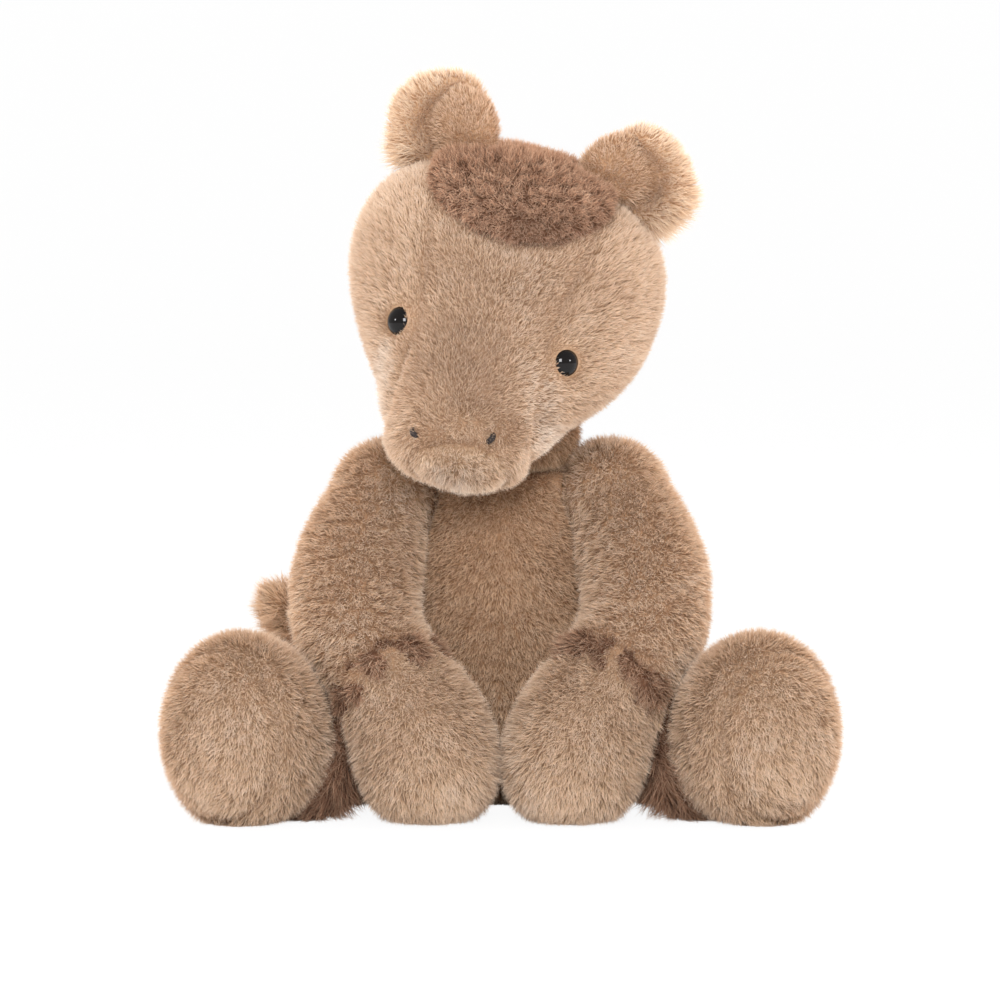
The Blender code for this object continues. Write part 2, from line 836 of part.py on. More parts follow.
head_side_axis = head_turned.to_3x3() @ Vector((1, 0, 0))
head_left = duplicate(head_cover, "head_left")
trim(head_left, head_middle, -head_side_axis)
trim(head_cover, head_middle, head_side_axis)
drop(strip, wide_strip)
finish(head_left, "head_side_left", "plush", head_frame)
finish(head_cover, "head_side_right", "plush", head_frame)
finish(head_gusset, "head_gusset", "plush", head_frame)
finish(muzzle_panel, "muzzle_panel", "plush_light", head_frame)
finish(head_filling, "head_filling", "filling", head_frame)


# Mane pad: a slice of a fuller head form, over the crown
mane = offset(head_whole, MANE_THICK, "mane")
crown = Vector((MANE_X, MANE_Y, MANE_Z))
mane_place = (
    head_turned
    @ Matrix.Translation(crown)
    @ Matrix.Rotation(radians(MANE_ROLL_DEG), 4, "Y")
    @ Matrix.Rotation(radians(MANE_PITCH_DEG), 4, "X")
)
mane_size = (MANE_WIDE, MANE_LONG, MANE_BURIED * 2)
mane_tool = ellipsoid("mane_tool", mane_size, mane_place)
combine(mane, mane_tool, "INTERSECT")
combine(mane, head_grown)
drop(mane_tool)


# Ears, cupped forward
def ear_pieces(side, way):
    lean, turn, tilt = EAR_POSES[side]
    place = (
        head_turned
        @ Matrix.Translation((way * EAR_OUT[side], EAR_Y, EAR_ROOT_Z))
        @ Matrix.Rotation(radians(way * lean), 4, "Y")
        @ Matrix.Rotation(radians(way * turn), 4, "Z")
        @ Matrix.Rotation(radians(tilt), 4, "X")
    )
    ear_rings = [
        ((0, 0, EAR_LONG * high), EAR_WIDE / 2 * wide, EAR_THICK / 2 * thick, EAR_CUP * cup)
        for high, wide, thick, cup in EAR_SHARES
    ]
    ear, plain = stuffed_form("ear", ear_rings, EAR_SEGMENTS)
    drop(plain)
    front = -(EAR_THICK - EAR_LINING_THICK) / 2 - EAR_LINING_PROUD
    lining_rings = [
        (
            (0, front, EAR_LONG * high),
            EAR_WIDE / 2 * wide,
            EAR_LINING_THICK / 2 * thick,
            EAR_CUP * cup * wide * wide,
        )
        for high, wide, thick, cup in LINING_SHARES
    ]
    lining, plain = stuffed_form("lining", lining_rings, LINING_SEGMENTS)
    drop(plain)
    ear.matrix_world = place
    lining.matrix_world = (
        place
        @ Matrix.Translation((-way * LINING_IN, 0, 0))
        @ Matrix.Rotation(radians(way * LINING_TURN_DEG), 4, "Z")
    )
    ear_bare = duplicate(ear, "ear_bare")
    ear_bare.matrix_world = place
    bpy.context.view_layer.update()
    bed = offset(lining, SEAT, "bed")
    combine(ear, bed)
    drop(bed)
    hinge = place.to_translation()
    axis = place.to_3x3() @ Vector((1, 0, 0))
    angles = [EAR_FLOP_DEG * share / 2 for share in range(-2, 3)]
    for piece in (ear, lining):
        swept_cut(piece, head_grown, hinge, axis, angles)
    for piece in (ear_bare, lining):
        piece_grown = offset(piece, SEAT, "ear_grown")
        swept_cut(mane, piece_grown, hinge, axis, angles)
        drop(piece_grown)
    drop(ear_bare)
    joint = pivot(f"ear_{side}_pivot", place, head_frame)
    finish(ear, f"ear_{side}", "plush_light", joint)
    finish(lining, f"ear_lining_{side}", "plush", joint)


for side, way in SIDES.items():
    ear_pieces(side, way)
finish(main_body(mane), "mane_pad", "plush_dark", head_frame)


# Limbs: one stuffed form each, cut by the torso, with a ball where it is sewn on
def band_block(form, point, along, width, thick, extra):
    """The form's length at a seam, with its longer pile and some extra all round."""
    block = offset(form, thick + extra, "block")
    trim(block, point + along * (width / 2 + extra), along)
    trim(block, point - along * (width / 2 + extra), -along)
    return block


def press_in(piece, leg_under, extra):
    """Dent the piece where it lies on a hind leg and on its fetlock, which leaves sideways."""
    form, point, along, way = leg_under
    under = offset(form, extra, "under")
    fringe = band_block(form, point, along, FETLOCK_HIND_WIDE, FETLOCK_HIND_THICK, extra)
    combine(piece, under)
    combine(piece, fringe)
    loose = offset(fringe, LEG_DENT_LOOSE, "loose")
    swept_cut(piece, loose, hip_point(way), UP, (-way * LEG_DENT_DEG / 2, -way * LEG_DENT_DEG))
    drop(under, fringe, loose)


def limb_layer(form, inset, root_point, root_r, counts, name, leg_under=None):
    """One layer of a limb, as far inside its outer surface as the inset says."""
    layer = offset(form, -inset, name)
    beside = offset(torso_whole, SEAT + inset, "beside")
    combine(layer, beside)
    if leg_under:
        press_in(layer, leg_under, SEAT + inset)
    root_ball = ball("root", root_point, root_r - inset, counts)
    combine(layer, root_ball, "UNION")
    trim(layer, FLOOR + UP * inset, DOWN)
    drop(beside, root_ball)
    return main_body(layer)


def limb(name, rings, root_point, root_r, leg_under=None):
    """The limb's cover, its filling and the form that they are made from."""
    form, plain = stuffed_form(name, rings, LIMB_SEGMENTS)
    filled = COVER + FILLING_SEAT
    layers = [(form, 0, BALL_COUNTS), (plain, COVER, INNER_COUNTS), (plain, filled, INNER_COUNTS)]
    cover, lining, filling = [
        limb_layer(base, inset, root_point, root_r, counts, name + "_layer", leg_under)
        for base, inset, counts in layers
    ]
    combine(cover, lining)
    drop(lining, plain)
    return cover, filling, form


def seam_at(rings, index):
    """The middle of a ring, and the way its limb runs there."""
    point = Vector(rings[index][0])
    along = (Vector(rings[index + 1][0]) - Vector(rings[index - 1][0])).normalized()
    return point, along


def band(bare, point, along, width, thick):
    """A ring of longer pile around a limb at its seam."""
    ring = band_block(bare, point, along, width, thick, 0)
    core = offset(bare, SEAT, "band_core")
    combine(ring, core)
    drop(core)
    trim(ring, FLOOR, DOWN)
    return ring


def arm(side, way, leg_under):
    start = shoulder_point(way)
    rings = [
        (
            start + Vector((way * (ARM_REACH / 3 * out), -ARM_REACH * fore, -ARM_DROP * drop_share)),
            ARM_R * wide,
            ARM_R * deep,
            0,
        )
        for out, fore, drop_share, wide, deep in ARM_SHARES
    ]
    cover, filling, bare = limb("arm", rings, start, SHOULDER_R, leg_under)
    wrist, along = seam_at(rings, ARM_WRIST_RING)
    hoof = duplicate(cover, "hoof")
    trim(hoof, wrist + along * SEAM, -along)
    trim(cover, wrist, along)
    fringe = band(bare, wrist, along, FETLOCK_FORE_WIDE, FETLOCK_FORE_THICK)
    press_in(fringe, leg_under, SEAT)
    main_body(fringe)
    drop(bare)
    joint = pivot(f"arm_{side}_pivot", start, root)
    finish(cover, f"arm_{side}", "plush", joint)
    finish(hoof, f"fore_hoof_{side}", "plush_light", joint)
    finish(fringe, f"fore_fetlock_{side}", "plush_dark", joint)
    finish(filling, f"arm_filling_{side}", "filling", joint)


def leg(side, way):
    start = hip_point(way)
    rings = [
        (
            start + Vector((way * LEG_OUT * out, -LEG_REACH * fore, LEG_RISE * rise)),
            LEG_R * wide,
            LEG_R * tall,
            0,
        )
        for out, fore, rise, wide, tall in LEG_SHARES
    ]
    cover, filling, bare = limb("leg", rings, start, HIP_R)
    ankle, along = seam_at(rings, LEG_ANKLE_RING)
    sole_point, sole_along = seam_at(rings, SOLE_RING)
    hoof = duplicate(cover, "hoof")
    trim(hoof, ankle + along * SEAM, -along)
    trim(cover, ankle, along)
    sole = duplicate(hoof, "sole")
    trim(sole, sole_point + sole_along * SEAM, -sole_along)
    trim(hoof, sole_point, sole_along)
    fringe = band(bare, ankle, along, FETLOCK_HIND_WIDE, FETLOCK_HIND_THICK)
    joint = pivot(f"leg_{side}_pivot", start, root)
    finish(cover, f"leg_{side}", "plush", joint)
    finish(hoof, f"hind_hoof_{side}", "plush_light", joint)
    finish(sole, f"hind_sole_{side}", "plush_light", joint)
    finish(fringe, f"hind_fetlock_{side}", "plush_dark", joint)
    finish(filling, f"leg_filling_{side}", "filling", joint)
    return bare, ankle, along, way


for side, way in SIDES.items():
    leg_under = leg(side, way)
    arm(side, way, leg_under)
    drop(leg_under[0])


# Tail, sewn into the back seam and curled round to the toy's right
tail_rings = [
    (
        TAIL_POINT + Vector((-TAIL_SWEEP * out, TAIL_BACK * behind, TAIL_HIGH * high)),
        TAIL_R * size,
        TAIL_R * size,
        0,
    )
    for out, behind, high, size in TAIL_SHARES
]
tail, tail_inner = stuffed_form("tail", tail_rings, TAIL_SEGMENTS, UP)
drop(tail_inner)
torso_grown = offset(torso_whole, SEAT, "torso_grown")
combine(tail, torso_grown)
tail_root = ball("tail_root", TAIL_POINT, TAIL_ROOT_R, INNER_COUNTS)
combine(tail, tail_root, "UNION")
drop(tail_root)
finish(tail, "tail", "plush_dark", pivot("tail_pivot", TAIL_POINT, root))

drop(torso_whole, torso_grown, head_whole, head_grown)
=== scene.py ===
import math

import bmesh
import bpy
import numpy as np
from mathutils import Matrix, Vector, noise
from mathutils.bvhtree import BVHTree
from mathutils.kdtree import KDTree


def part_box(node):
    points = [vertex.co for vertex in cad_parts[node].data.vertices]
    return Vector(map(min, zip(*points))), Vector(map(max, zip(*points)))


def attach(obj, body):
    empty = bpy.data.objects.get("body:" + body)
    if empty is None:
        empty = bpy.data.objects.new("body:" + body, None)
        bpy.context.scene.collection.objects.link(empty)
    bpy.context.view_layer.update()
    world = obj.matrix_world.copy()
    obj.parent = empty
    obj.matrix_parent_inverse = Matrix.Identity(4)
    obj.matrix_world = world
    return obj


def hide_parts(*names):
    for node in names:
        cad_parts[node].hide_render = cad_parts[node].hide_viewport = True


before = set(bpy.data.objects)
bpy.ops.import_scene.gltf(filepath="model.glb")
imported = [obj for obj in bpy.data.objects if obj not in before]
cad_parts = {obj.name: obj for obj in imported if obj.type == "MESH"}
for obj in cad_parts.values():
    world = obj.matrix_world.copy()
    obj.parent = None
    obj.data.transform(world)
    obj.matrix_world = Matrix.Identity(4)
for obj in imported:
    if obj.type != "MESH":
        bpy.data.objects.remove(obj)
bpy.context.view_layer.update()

# -------------------------------- sizes, in metres

# the skins sewn round the CAD forms
SKIN_GRAIN = 0.0016
WADDING_GRAIN = 0.0030
CLOSE_GAPS = 0.0005
SKIN_EASE = 0.0004
SAME_SPOT = 1e-6
TINY = 1e-9

# seams: how deep a seam sinks, how wide its groove is, how far it shortens the pile
SEAM_SINK = 0.0009
SEAM_WIDE = 0.0016
SEAM_REACH = 0.0040
EAR_SEAM_SINK = 0.0026
EAR_SEAM_WIDE = 0.0028
NO_SEAM = 1.0
LINING_REACH = 0.0060
LINING_LEAST = 0.0030
BAND_TRIM = 0.0012
BAND_WANDER = 0.0045
WANDER_SCALE = 130

# where the pile touches another piece
TOUCH_NEAR = 0.0012
TOUCH_FAR = 0.0050

# panels filled as cloth
PAD_GRAIN = 0.0040
PAD_ROUNDS = 3
PAD_MOST = 0.0025
PAD_HELD = 0.0030
PAD_FRAMES = 20
PAD_PRESSURE = 60.0
PAD_STIFFNESS = 5
PAD_SHEAR = 2
PAD_SPARE_CLOTH = 0.03
PAD_NEIGHBOURS = 8
PAD_SOFTENING = 0.0015

# eyes and nostrils
EYE_RADIUS = 0.0052
EYE_DOME = 0.0042
EYE_RIM = 0.0010
EYE_STEPS = 16
SHANK_RADIUS = 0.0016
SLIT_LONG = 0.0044
SLIT_WIDE = 0.0019
STITCHES = 5
STITCH_RADIUS = 0.00034

# where limbs and tail leave the body; limbs on the left, mirrored for the right
SHOULDER = (0.037, 0.003, 0.103)
HIP = (0.036, 0.020, 0.0225)
TAIL_ROOT = (0, 0.057, 0.026)

# pile and shade, as shares: 1 is full length or cover, a shade of 0 is darkest and 1 palest
SHADE_MEAN = 0.5
SEAM_PILE = 0.55
TOUCH_PILE = 0.55
TOUCH_COVER = 0.88
# painted shade: darker pile where it touches another piece, in the seam creases, and most in the
# ear's crease between rim and lining
TOUCH_PAINTED_SHADE = 0.14
SEAM_PAINTED_SHADE = 0.22
EAR_CREASE_PAINTED_SHADE = 0.55
EAR_SKIRT = 0.8
# painted shade on the front of the neck, which sits in shade between head, arms and torso
NECK_PAINTED_SHADE = 0.30
# painted light lifts the mane's top, painted shade darkens its lower, hanging edge
MANE_TOP_PAINTED_LIGHT = 0.10
MANE_HANG_PAINTED_SHADE = 0.34
TUFT_TRIM = 0.7
EYE_PILE = 0.45
# painted shade in a ring round each eye
EYE_PAINTED_SHADE = 0.26
NOSTRIL_PILE = 0.60
NOSTRIL_SHADE = 0.10
BRIDGE_SHADE = 0.34
BAND_SHADE = 0.38
# painted light along the lower rim of the muzzle, as if lit from below
CHIN_PAINTED_LIGHT = 0.24

# -------------------------------- dye colours, root to tip; the neck's and the lining's hold painted shade, the muzzle's painted light


def dye(code):
    """A colour written as six hex digits, as the linear colour that a shader takes."""
    parts = [int(code[i : i + 2], 16) / 255 for i in (0, 2, 4)]
    linear = [p / 12.92 if p <= 0.04045 else ((p + 0.055) / 1.055) ** 2.4 for p in parts]
    return (*linear, 1.0)


DYE_STEPS = ("Root", "Dark", "Middle", "Light")
DYES_AND_PAINTED_LIGHT = {
    "tan": ("8f6f52", "c6a284", "e9c8a8", "faebdc"),
    # the muzzle's dye is paler than tan: painted light, for a muzzle lit from below
    "muzzle": ("9e7e60", "d1af8f", "f0d2b3", "fcf0e4"),
    "hoof": ("8f7154", "c6a282", "e8c7a6", "faeadb"),
    "sleeve": ("8d6b4e", "c9a280", "edccaa", "fbecdd"),
    "ear": ("b88a66", "e6c19c", "fbe2c4", "fef3e6"),
    # the lining's dye is darker than the ear's: painted shade in the ear's hollow
    "lining": ("9a7252", "d0a884", "efccaa", "fceada"),
    "belly": ("7e5c42", "bc9472", "dfb894", "f2dac0"),
    # the neck's dye is darker than the sleeve's: painted shade for a neck that sits in shade
    # between head, arms and torso
    "neck": ("7a593f", "b38c6a", "d8b08c", "eed4ba"),
    "ankle": ("513325", "88624c", "be9476", "e8ccb2"),
    "brown": ("57392b", "8f6750", "cda081", "f5d5b9"),
    "feather": ("2e1b12", "684532", "a67c62", "dcb89c"),
    "tail": ("8a664a", "c29c7a", "e6c4a2", "f8e4d0"),
}

# -------------------------------- mesh helpers


def arrays_of(mesh):
    """The corners of a mesh as an array."""
    co = np.empty(len(mesh.vertices) * 3)
    mesh.vertices.foreach_get("co", co)
    return co.reshape(-1, 3)


def piece_from(name, mesh):
    mesh.name = name
    obj = bpy.data.objects.new(name, mesh)
    bpy.context.scene.collection.objects.link(obj)
    return obj


def plain_mesh(obj):
    """The object with its modifiers, as a mesh of its own."""
    bpy.context.view_layer.update()
    found = bpy.context.evaluated_depsgraph_get()
    return bpy.data.meshes.new_from_object(obj.evaluated_get(found))


def drop(obj):
    data = obj.data
    bpy.data.objects.remove(obj)
    if data and not data.users:
        bpy.data.meshes.remove(data)


def swollen(nodes, by):
    """One mesh of several CAD nodes, each let out by a little so that the seams close."""
    whole = bmesh.new()
    for node in nodes:
        one = bmesh.new()
        one.from_mesh(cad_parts[node].data)
        bmesh.ops.remove_doubles(one, verts=one.verts, dist=SAME_SPOT)
        one.normal_update()
        for v in one.verts:
            v.co += v.normal * by
        mesh = bpy.data.meshes.new("one")
        one.to_mesh(mesh)
        one.free()
        whole.from_mesh(mesh)
        bpy.data.meshes.remove(mesh)
    mesh = bpy.data.meshes.new("whole")
    whole.to_mesh(mesh)
    whole.free()
    return mesh


def outer_shell(mesh):
    """Keeps the island with the largest box, and drops what is enclosed in it."""
    bm = bmesh.new()
    bm.from_mesh(mesh)
    left = set(bm.verts)
    best = (0.0, None)
    while left:
        seed = next(iter(left))
        island = {seed}
        rim = [seed]
        while rim:
            v = rim.pop()
            for e in v.link_edges:
                w = e.other_vert(v)
                if w not in island:
                    island.add(w)
                    rim.append(w)
        left -= island
        co = np.array([v.co for v in island])
        size = float(np.prod(np.ptp(co, axis=0)))
        if size > best[0]:
            best = (size, island)
    bmesh.ops.delete(bm, geom=[v for v in bm.verts if v not in best[1]], context="VERTS")
    bm.to_mesh(mesh)
    bm.free()
    return mesh


def normals_of(mesh):
    n = np.empty(len(mesh.vertices) * 3)
    mesh.vertex_normals.foreach_get("vector", n)
    return n.reshape(-1, 3)


def set_places(mesh, co):
    mesh.vertices.foreach_set("co", np.asarray(co, np.float32).ravel())
    mesh.update()


def relax(mesh, rounds):
    """Evens out facets: each corner goes half way to the mean of its neighbours."""
    co = arrays_of(mesh)
    ends = np.empty(len(mesh.edges) * 2, int)
    mesh.edges.foreach_get("vertices", ends)
    ends = ends.reshape(-1, 2)
    count = np.bincount(ends.ravel(), minlength=len(co))[:, None]
    for _ in range(rounds):
        total = np.zeros_like(co)
        np.add.at(total, ends[:, 0], co[ends[:, 1]])
        np.add.at(total, ends[:, 1], co[ends[:, 0]])
        co = co + 0.5 * (total / count - co)
    set_places(mesh, co)


def sewn_skin(name, nodes, grain, rounds, ease):
    """A closed soft skin round CAD nodes: their outer form, without facets."""
    skin = coarse_form(name, nodes, grain, rounds)
    mesh = skin.data
    set_places(mesh, arrays_of(mesh) + normals_of(mesh) * (ease - CLOSE_GAPS))
    mesh.polygons.foreach_set("use_smooth", np.ones(len(mesh.polygons), bool))
    return skin


def tree_of(nodes):
    """A search tree over the triangles of CAD nodes."""
    corners = []
    faces = []
    for node in nodes:
        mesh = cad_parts[node].data
        base = len(corners)
        corners += [v.co.copy() for v in mesh.vertices]
        faces += [tuple(base + i for i in p.vertices) for p in mesh.polygons]
    return BVHTree.FromPolygons(corners, faces)


def gaps_to(tree, co):
    """Each corner's distance to a search tree."""
    return np.array([tree.find_nearest(Vector(c))[3] for c in co])


def unit(v):
    return v / np.maximum(np.linalg.norm(v, axis=-1, keepdims=True), TINY)


def smooth_step(x, low, high):
    t = np.clip((x - low) / (high - low), 0, 1)
    return t * t * (3 - 2 * t)


def middle(node):
    low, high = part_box(node)
    return np.array((low + high) / 2)


def heart(node):
    """The mean of a CAD node's corners."""
    return arrays_of(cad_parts[node].data).mean(0)


# -------------------------------- how the pile lies


def along_path(co, points):
    """The direction along a path of points, blended near its bends."""
    points = np.array(points)
    flow = np.zeros_like(co)
    total = np.zeros((len(co), 1))
    for a, b in zip(points[:-1], points[1:]):
        run = b - a
        share = np.clip(((co - a) @ run) / (run @ run), 0, 1)[:, None]
        near = np.linalg.norm(co - (a + share * run), axis=1, keepdims=True)
        weight = 1 / (near**2 + 1e-6)
        flow += weight * unit(run)
        total += weight
    return unit(flow / total)


def nose_tip():
    return (middle("nostril_left") + middle("nostril_right")) / 2


def head_flow(co):
    """From the nose seam up over the brow, out over the cheeks and down at the back."""
    flow = unit(co - (nose_tip() + np.array((0, 0.018, 0.004))))
    back = smooth_step(co[:, 1], -0.010, 0.030)[:, None]
    flow = flow * (1 - back) + back * np.array((0, 0.3, -1.0))
    for side in ("left", "right"):
        eye = middle("eye_" + side)
        away = co - eye
        gap = np.linalg.norm(away, axis=1, keepdims=True)
        near = 0.25 * (1 - smooth_step(gap, 0.006, 0.014))
        flow = flow * (1 - near) + unit(away) * near
    return flow


def mane_flow(co):
    crown = middle("mane_pad") + np.array((0, 0.016, -0.020))
    return unit(co - crown) + np.array((0, -0.4, -0.6))


def down_flow(co):
    side = np.zeros_like(co)
    side[:, 0] = np.sign(co[:, 0]) * 0.15
    return side + np.array((0, 0, -1.0))


def ear_flow(side):
    def flow(co):
        inside = heart("ear_lining_" + side)
        root = middle("head_gusset") * 0.4 + heart("ear_" + side) * 0.6
        return unit(co - inside) * 0.5 + unit(co - root)

    return flow


def mirrored(spot, side):
    return np.array(spot) * ((1 if side == "left" else -1), 1, 1)


def arm_flow(side):
    def flow(co):
        hoof = heart("fore_hoof_" + side)
        wrist = heart("fore_fetlock_" + side)
        end = hoof + (hoof - wrist) * 2 + np.array((0, 0, -0.03))
        return along_path(co, [mirrored(SHOULDER, side), heart("arm_" + side), wrist, hoof, end])

    return flow


def leg_flow(side):
    def flow(co):
        root = mirrored(HIP, side)
        out = along_path(co, [root, heart("leg_" + side), heart("hind_hoof_" + side)])
        reach = smooth_step(np.linalg.norm(co[:, :2] - root[:2], axis=1), 0.030, 0.060)[:, None]
        return out * (1 - 0.5 * reach) + np.array((0, -0.35, -0.8)) * reach

    return flow


def tail_flow(co):
    end = middle("tail") + (middle("tail") - TAIL_ROOT) * 0.8
    return along_path(co, [TAIL_ROOT, heart("tail"), end])


# -------------------------------- the sewn panels

FILLINGS = {
    "torso": ["torso_filling", "pellet_pouch"],
    "neck": ["neck_filling"],
    "head": ["head_filling", "eye_left", "eye_right", "eye_washer_left", "eye_washer_right"],
}
for side in ("left", "right"):
    for limb in ("arm", "leg"):
        FILLINGS[limb + "_" + side] = [limb + "_filling_" + side]

HEAD_PANELS = {
    "head_side_left": "head",
    "head_side_right": "head",
    "head_gusset": "brow",
    "muzzle_panel": "muzzle",
}

# name, body, panels and the kind of pile on each, how it lies, rounds of evening out
SKINS = [
    ("torso", "torso", {"torso_cover": "torso", "belly_panel": "belly"}, down_flow, 24),
    ("neck", "neck", {"neck_cover": "neck"}, down_flow, 16),
    ("head", "head", HEAD_PANELS, head_flow, 24),
    ("mane", "head", {"mane_pad": "mane"}, mane_flow, 6),
    ("tail", "tail", {"tail": "tail"}, tail_flow, 10),
]
for side in ("left", "right"):
    ear, arm, leg = "ear_" + side, "arm_" + side, "leg_" + side
    ear_panels = {ear: "ear", "ear_lining_" + side: "lining"}
    arm_panels = {arm: "arm", "fore_fetlock_" + side: "ankle", "fore_hoof_" + side: "hoof"}
    leg_panels = {
        leg: "leg",
        "hind_fetlock_" + side: "feather",
        "hind_hoof_" + side: "hoof",
        "hind_sole_" + side: "sole",
    }
    SKINS.append((ear, ear, ear_panels, ear_flow(side), 6))
    SKINS.append((arm, arm, arm_panels, arm_flow(side), 20))
    SKINS.append((leg, leg, leg_panels, leg_flow(side), 20))

# dye (the neck's and lining's with painted shade, the muzzle's with painted light), strands a
# square metre, length, width, lift, clump size, clump pull, unevenness, tone spread
PILES = {
    "torso": ("sleeve", 3.05e6, 0.0046, 0.00028, 0.62, 0.0042, 0.22, 0.22, 0.13),
    "belly": ("belly", 6.04e6, 0.0038, 0.00024, 0.66, 0.0030, 0.24, 0.26, 0.17),
    "head": ("tan", 6.04e6, 0.0040, 0.00023, 0.62, 0.0036, 0.24, 0.26, 0.12),
    "brow": ("tan", 6.30e6, 0.0038, 0.00022, 0.74, 0.0026, 0.24, 0.32, 0.15),
    "muzzle": ("muzzle", 6.98e6, 0.0042, 0.00022, 0.70, 0.0028, 0.24, 0.30, 0.12),
    "neck": ("neck", 4.65e6, 0.0046, 0.00026, 0.58, 0.0044, 0.30, 0.30, 0.14),
    "mane": ("brown", 6.88e6, 0.0050, 0.00025, 0.60, 0.0042, 0.55, 0.44, 0.20),
    "ear": ("ear", 6.51e6, 0.0046, 0.00024, 0.62, 0.0034, 0.22, 0.24, 0.12),
    "lining": ("lining", 6.51e6, 0.0030, 0.00023, 0.58, 0.0028, 0.22, 0.26, 0.14),
    "arm": ("sleeve", 5.39e6, 0.0047, 0.00025, 0.62, 0.0042, 0.32, 0.26, 0.18),
    "ankle": ("ankle", 5.21e6, 0.0066, 0.00025, 0.56, 0.0048, 0.50, 0.40, 0.24),
    "hoof": ("hoof", 6.04e6, 0.0050, 0.00023, 0.60, 0.0044, 0.20, 0.30, 0.09),
    "sole": ("hoof", 6.04e6, 0.0046, 0.00023, 0.64, 0.0040, 0.20, 0.30, 0.09),
    "leg": ("sleeve", 3.72e6, 0.0050, 0.00026, 0.60, 0.0044, 0.30, 0.24, 0.14),
    "feather": ("feather", 6.04e6, 0.0130, 0.00027, 0.42, 0.0064, 0.95, 0.46, 0.30),
    "tail": ("tail", 6.04e6, 0.0085, 0.00026, 0.44, 0.0056, 0.60, 0.32, 0.16),
}
PILE_INPUTS = ("Density", "Length", "Width", "Lift")
PILE_INPUTS += ("Clump Size", "Clump Pull", "Unevenness", "Tone Spread")

PANEL_NODES = [node for skin in SKINS for node in skin[2]]

# -------------------------------- panels filled as cloth


def coarse_form(name, nodes, grain, rounds):
    """A closed even net round CAD nodes, at a given grain."""
    rough = piece_from("rough", swollen(nodes, CLOSE_GAPS))
    remesh = rough.modifiers.new("grain", "REMESH")
    remesh.mode = "VOXEL"
    remesh.voxel_size = grain
    mesh = outer_shell(plain_mesh(rough))
    drop(rough)
    relax(mesh, rounds)
    return piece_from(name, mesh)


def held_share(co, panels):
    """Where a panel is held: along its seams, and where it meets other pieces or the floor."""
    others = [node for node in PANEL_NODES if node not in panels]
    held = 1 - smooth_step(gaps_to(tree_of(others), co), 0.0, PAD_HELD * 2)
    held = np.maximum(held, 1 - smooth_step(co[:, 2], PAD_HELD * 0.5, PAD_HELD * 1.5))
    if len(panels) > 1:
        gaps = np.sort([gaps_to(tree_of([node]), co) for node in panels], axis=0)
        held = np.maximum(held, 1 - smooth_step(gaps[1], PAD_HELD * 0.5, PAD_HELD * 1.5))
    return held


def filled_panels():
    """Presses filling against cloth that is a little too large, held at its seams."""
    pads = {}
    for name, _, panels, _, _ in SKINS:
        nodes = list(panels) + FILLINGS.get(name, [])
        pad = coarse_form(name + "_pad", nodes, PAD_GRAIN, PAD_ROUNDS)
        before = arrays_of(pad.data)
        group = pad.vertex_groups.new(name="held")
        for i, share in enumerate(held_share(before, list(panels))):
            group.add([i], float(share), "REPLACE")
        cloth = pad.modifiers.new("cloth", "CLOTH").settings
        cloth.vertex_group_mass = "held"
        cloth.use_pressure = True
        cloth.uniform_pressure_force = PAD_PRESSURE
        cloth.tension_stiffness = PAD_STIFFNESS
        cloth.compression_stiffness = PAD_STIFFNESS
        cloth.shear_stiffness = PAD_SHEAR
        cloth.shrink_min = -PAD_SPARE_CLOTH
        cloth.effector_weights.gravity = 0
        pads[name] = (pad, before)
    for frame_number in range(1, PAD_FRAMES + 1):
        bpy.context.scene.frame_set(frame_number)
    moved = {}
    for name, (pad, before) in pads.items():
        mesh = plain_mesh(pad)
        step = arrays_of(mesh) - before
        far = np.linalg.norm(step, axis=1, keepdims=True)
        step = step * np.minimum(1, PAD_MOST / np.maximum(far, TINY))
        moved[name] = (before, step, float((step * normals_of(pad.data)).sum(1).mean()))
        bpy.data.meshes.remove(mesh)
        drop(pad)
    bpy.context.scene.frame_set(1)
    return moved


def carried(moved, co, normals):
    """The movement of the coarse cloth at finer corners, drawn in so that the size stays."""
    before, step, rise = moved
    finder = KDTree(len(before))
    for i, spot in enumerate(before):
        finder.insert(Vector(spot), i)
    finder.balance()
    shift = np.empty_like(co)
    for i, spot in enumerate(co):
        found = finder.find_n(Vector(spot), PAD_NEIGHBOURS)
        weight = np.array([1 / (far + PAD_SOFTENING) ** 2 for _, _, far in found])
        shift[i] = weight @ step[[index for _, index, _ in found]] / weight.sum()
    out = (shift * normals).sum(1, keepdims=True)
    return co + shift - normals * np.clip(out, 0, rise)


FILLED = filled_panels()

# -------------------------------- shader groups


def add(nodes, kind, **values):
    n = nodes.new(kind)
    for key, value in values.items():
        setattr(n, key, value)
    return n


def open_group(name, kind, inputs, outputs):
    """An empty node group with named sockets, and its two ends."""
    tree = bpy.data.node_groups.new(name, kind)
    for way, named in (("INPUT", inputs), ("OUTPUT", outputs)):
        for socket, sort in named:
            tree.interface.new_socket(socket, in_out=way, socket_type="NodeSocket" + sort)
    return tree, tree.nodes.new("NodeGroupInput"), tree.nodes.new("NodeGroupOutput")


def spread_out(tree, value, smooth=False, **ends):
    """A value mapped from one span to another."""
    n = tree.nodes.new("ShaderNodeMapRange")
    if smooth:
        n.interpolation_type = "SMOOTHSTEP"
    for key, end in ends.items():
        n.inputs[key.replace("_", " ").title()].default_value = end
    tree.links.new(value, n.inputs["Value"])
    return n.outputs["Result"]


def blended(tree, share, one, other):
    """Two colours mixed by a share."""
    n = add(tree.nodes, "ShaderNodeMix", data_type="RGBA")
    for value, socket in ((share, "Factor"), (one, "A"), (other, "B")):
        tree.links.new(value, n.inputs[socket])
    return n.outputs["Result"]


